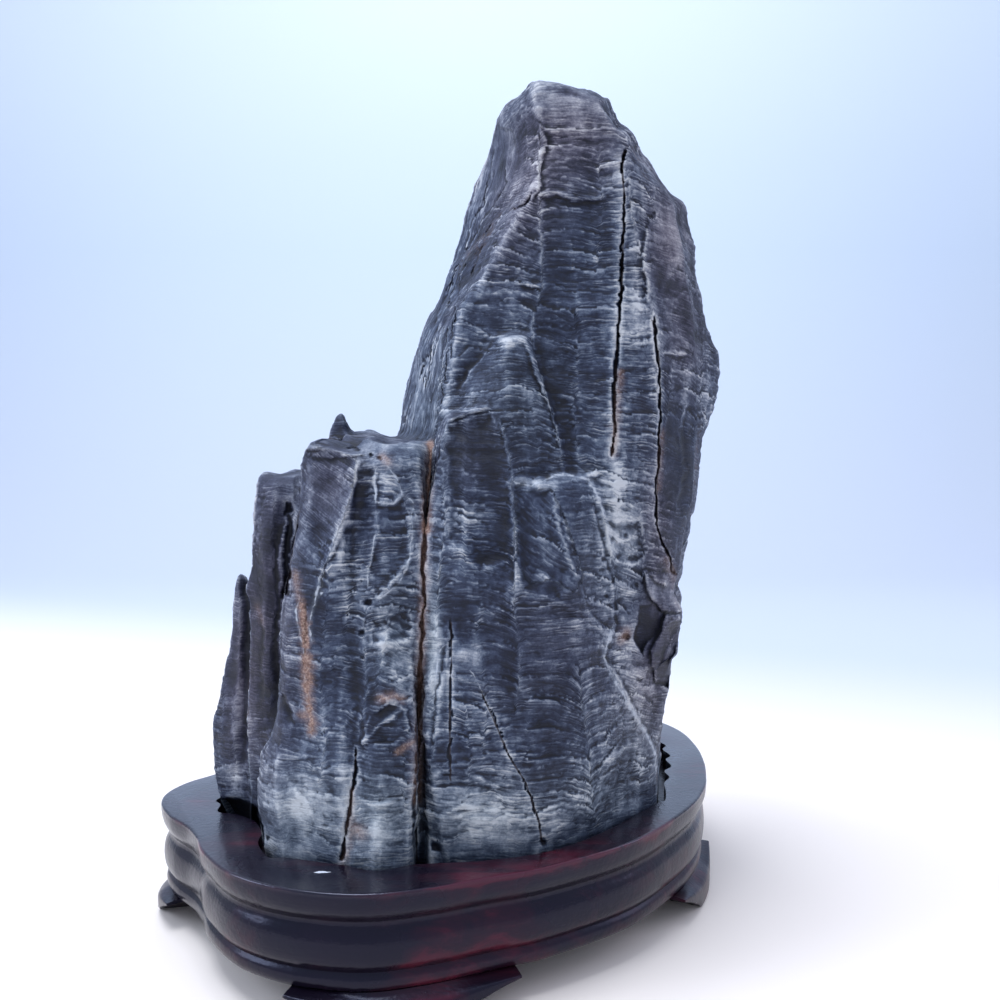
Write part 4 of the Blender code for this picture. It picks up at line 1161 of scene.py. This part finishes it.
def makeFoot(name, centre, length):
    fine = standOutline(1200)
    outward = outwardSteps(fine)
    spacing = math.dist(fine[1], fine[0])
    middle = int(np.argmin(np.linalg.norm(fine - np.array(centre), axis=1)))
    wall, flat = standWork["footWall"], standWork["footFlat"]
    top = standWork["plateTop"] - standWork["bodyHeight"] - standWork["footGap"]
    rings = []
    for station in range(standWork["footStations"]):
        share = 2 * station / (standWork["footStations"] - 1) - 1
        at = (middle + round(share * length / 2 / spacing)) % len(fine)
        scoop = max(0.0, (abs(share) - flat) / (1 - flat))
        lift = (top - standWork["footToe"]) * scoop ** 0.8
        ring = [(*(fine[at] + outward[at] * step), lift + (top - lift) * height) for height, step in footFace]
        ring.append((*(fine[at] - outward[at] * wall), lift))
        ring.append((*(fine[at] - outward[at] * (wall + 2)), top))
        rings.append(ring)
    foot = extrudeRings(name, rings)
    smoothFaces()
    return foot


lacquerLooks = {
    "wood": [(0.45, "#0b0a15"), (0.74, "#130d19"), (0.90, "#28101b"), (1.0, "#461522")],
    "filler": "#dfe4ee",
    "sheen": "#c3ccff",
    # redder round these places in mm, as worn coat and as a painted red glow of the highlight along the front
    # right rim: where, how far it reaches, how much
    "wornAndGlowSpots": [((64, -106, 59.5), 42, 0.30), ((22, -120, 59.5), 40, 0.14), ((98, -74, 59), 34, 0.16),
                  ((-60, -100, 60), 26, 0.06), ((-136, -34, 59), 24, 0.08)],
    "spotFlatness": 4.5,         # times that a worn spot is wider than high
    "chip": (-50.8 + shiftX, -118.6 + shiftY, 60.0),    # mm
    "chipReach": (250, 900, 900),     # one over its reach in m, along and across
    "plateFrom": (0.0575, 0.0598),    # m, heights between which the sides turn into the plate
    "roughness": (0.20, 0.36),        # least and most
    "coatRoughness": 0.16,
}


def makeLacquer():
    # rosewood under dark brushed lacquer: near black, red-brown where the coat is thin and in a painted red
    # glow along the front right rim, glossy with the orange peel and small nibs of a hand-brushed coat
    material, tree, shader = newMaterial("lacqueredRosewood")
    place = addNode(tree, "TexCoord").outputs["Object"]
    patches = noise(tree, place, 24.0, 3.0)
    figure = noise(tree, stretch(tree, place, (14.0, 160.0, 160.0)), 1.0, 5.0, 0.6, 0.4)
    thinCoatAndGlow = calculate(tree, "MULTIPLY_ADD", figure, 0.5, patches)
    flatness = lacquerLooks["spotFlatness"]
    flat = vectorMath(tree, "MULTIPLY", "Vector", place, (1, 1, flatness))
    # round each listed spot: partly worn coat, partly a painted red glow of the rim highlight
    for (x, y, z), reach, amount in lacquerLooks["wornAndGlowSpots"]:
        middle = ((x + shiftX) * mm, (y + shiftY) * mm, flatness * z * mm)
        off = vectorMath(tree, "DISTANCE", "Value", flat, middle)
        glow = rescale(tree, off, 0.0, reach * mm, amount, 0.0, "SMOOTHSTEP")
        thinCoatAndGlow = calculate(tree, "ADD", thinCoatAndGlow, glow)
    rubbed = addNode(tree, "Attribute", attribute_name="rubbed").outputs["Fac"]
    thinCoatAndGlow = calculate(tree, "MULTIPLY_ADD", rubbed, 0.20, thinCoatAndGlow)
    wood = ramp(tree, thinCoatAndGlow, lacquerLooks["wood"])
    # a small chip down to white filler on the plate, its edge torn
    peel = noise(tree, place, 420.0, 2.0)
    chip = stretch(tree, place, (1.0, 1.0, 1.0), tuple(-c * mm for c in lacquerLooks["chip"]))
    chip = vectorMath(tree, "MULTIPLY", "Vector", chip, lacquerLooks["chipReach"])
    chip = calculate(tree, "MULTIPLY_ADD", peel, 1.6, vectorMath(tree, "LENGTH", "Value", chip))
    chip = rescale(tree, chip, 1.55, 1.68, 1.0, 0.0)
    nibs = addNode(tree, "TexVoronoi", {"Vector": place, "Scale": 260.0}).outputs["Distance"]
    height = calculate(tree, "ADD", peel, rescale(tree, nibs, 0.0, 0.16, 0.5, 0.0))
    brushed = noise(tree, stretch(tree, place, (30.0, 30.0, 900.0)), 1.0, 2.0)
    height = calculate(tree, "MULTIPLY_ADD", brushed, 0.5, height)
    bump = addNode(tree, "Bump", {"Strength": 0.35, "Distance": 0.0004, "Height": height})
    # the plate is polished, the sides are duller
    upper = addNode(tree, "SeparateXYZ", {0: place}).outputs[2]
    fill(tree, shader, {
        "Base Color": blend(tree, chip, wood, linear(lacquerLooks["filler"])),
        "Roughness": rescale(tree, patches, 0.3, 0.7, *lacquerLooks["roughness"]),
        "IOR": 1.5,
        "Specular IOR Level": rescale(tree, upper, *lacquerLooks["plateFrom"], 0.24, 0.36),
        "Specular Tint": linear(lacquerLooks["sheen"]),
        "Coat Weight": rescale(tree, upper, *lacquerLooks["plateFrom"], 0.16, 0.6),
        "Coat Roughness": lacquerLooks["coatRoughness"],
        "Coat Normal": bump,
        "Normal": bump,
    })
    return material


lacquer = makeLacquer()
dress(makeStandBody(), "stand_body", lacquer)
for name, centre, length in feet:
    dress(makeFoot("carved_" + name, centre, length), name, lacquer)
print("stand: plate and", len(feet), "feet")


# Floor, backdrop, lights and camera

studio = {
    "floorSize": 8.0,            # m, as are the next five
    "floorShift": -1.4,
    "wallHeight": 4.0,
    "wallBend": 1.2,
    "groundSize": 60.0,
    "groundDrop": 0.002,
    "floorColour": "#fff5ec",
    "groundColour": "#fcfdff",
    # paper that fades from a darker pale blue at its foot to nearly white higher up; the darker foot is
    # painted shade
    "wall": [(0.0, "#cfd6e4"), (0.4, "#d2deee"), (0.8, "#e6f0fa")],
    "wallFade": 2.2,             # m, height that counts as 1 in the fade
    "paperRoughness": 0.9,
    "world": "#dfeaff",
    "worldStrength": 0.80,
    # name, where, what it aims at, size in m, power in W, colour
    "lights": [
        ("overhead softbox", (-0.35, -0.25, 1.9), (0, 0, 0.2), 0.9, 22, "#eef4ff"),
        ("left softbox", (-1.8, -0.3, 1.1), (0, 0, 0.25), 0.9, 15, "#dfeaff"),
        ("right softbox", (1.7, 0.2, 1.1), (0, 0, 0.25), 0.8, 4, "#ece6ff"),
        ("backdrop wash", (0, 1.2, 2.0), (0, 2.8, 0.6), 2.0, 16, "#f2f7ff"),
    ],
    "lens": 36.0,                # mm, as wide as the sensor, which gives the drawing's focus
}


def selectEdges(piece, chosen):
    bpy.ops.mesh.select_all(action="DESELECT")
    work = bmesh.from_edit_mesh(piece.data)
    for edge in work.edges:
        if all(chosen(vertex.co) for vertex in edge.verts):
            edge.select_set(True)
    bmesh.update_edit_mesh(piece.data)


def addPlane(name, size, location):
    bpy.ops.object.select_all(action="DESELECT")
    bpy.ops.mesh.primitive_plane_add(size=size, location=location)
    plane = bpy.context.object
    plane.name = name
    return plane


def paperColourAndShade(tree):
    place = addNode(tree, "TexCoord").outputs["Object"]
    x, y, z = addNode(tree, "SeparateXYZ", {0: place}).outputs
    wall = ramp(tree, rescale(tree, z, 0.0, studio["wallFade"]), studio["wall"])
    away = vectorMath(tree, "LENGTH", "Value", addNode(tree, "CombineXYZ", {0: x, 1: y}))
    away = rescale(tree, away, 1.8, 3.7, kind="SMOOTHSTEP")
    near = blend(tree, away, linear(studio["floorColour"]), linear(studio["groundColour"]))
    slant = calculate(tree, "MULTIPLY_ADD", x, 0.45, y)
    back = rescale(tree, slant, 1.6, 2.3, kind="SMOOTHSTEP")
    # the floor is painted darker behind the stand, further forward on the right, as painted shade; far to the
    # sides it stays even
    aside = rescale(tree, calculate(tree, "ABSOLUTE", x), 1.7, 2.6, 1.0, 0.0, "SMOOTHSTEP")
    kept = calculate(tree, "MAXIMUM", aside, rescale(tree, z, 0.02, 0.4))
    # behind the stand the floor takes the wall's darker foot colour: painted shade
    return blend(tree, calculate(tree, "MULTIPLY", back, kept), near, wall)


def makeStage():
    floor = addPlane("studio_floor", studio["floorSize"], (0, studio["floorShift"], 0))
    backEdge = studio["floorSize"] / 2 - 0.1
    bpy.ops.object.mode_set(mode="EDIT")
    selectEdges(floor, lambda co: co.y > backEdge)
    bpy.ops.mesh.extrude_region_move(TRANSFORM_OT_translate={"value": (0, 0, studio["wallHeight"])})
    selectEdges(floor, lambda co: co.y > backEdge and abs(co.z) < 0.01)
    bpy.ops.mesh.bevel(offset=studio["wallBend"], segments=24)
    bpy.ops.object.mode_set(mode="OBJECT")
    bpy.ops.object.shade_smooth()
    # white ground carried on out of sight, a hair lower, so that no edge shows from the sides
    ground = addPlane("studio_ground", studio["groundSize"], (0, 0, -studio["groundDrop"]))
    for piece, name in ((floor, "mattPaper"), (ground, "mattGround")):
        material, tree, shader = newMaterial(name)
        colour = paperColourAndShade(tree) if piece == floor else linear(studio["groundColour"])
        fill(tree, shader, {"Base Color": colour, "Roughness": studio["paperRoughness"]})
        piece.data.materials.append(material)


def addLight(name, place, aim, size, power, colour):
    bpy.ops.object.light_add(type="AREA", location=place)
    light = bpy.context.object
    light.name = name
    light.data.size = size
    light.data.energy = power
    light.data.color = linear(colour)[:3]
    light.rotation_euler = (Vector(aim) - Vector(place)).to_track_quat("-Z", "Y").to_euler()


makeStage()
for light in studio["lights"]:
    addLight(*light)

world = bpy.data.worlds.new("paleStudio")
bpy.context.scene.world = world
world.use_nodes = True
fill(world.node_tree, world.node_tree.nodes["Background"],
     {"Color": linear(studio["world"]), "Strength": studio["worldStrength"]})
bpy.context.scene.view_settings.view_transform = "Standard"

camera = bpy.data.cameras.new("camera")
camera.lens = studio["lens"]
camera.sensor_width = studio["lens"]
viewpoint = bpy.data.objects.new("camera", camera)
bpy.context.scene.collection.objects.link(viewpoint)
viewpoint.location = Vector(drawing["eye"]) * mm
viewpoint.rotation_euler = (math.pi / 2 - drawing["pitch"], 0, 0)
bpy.context.scene.camera = viewpoint
print("studio: floor, lights and camera")

bpy.context.view_layer.update()
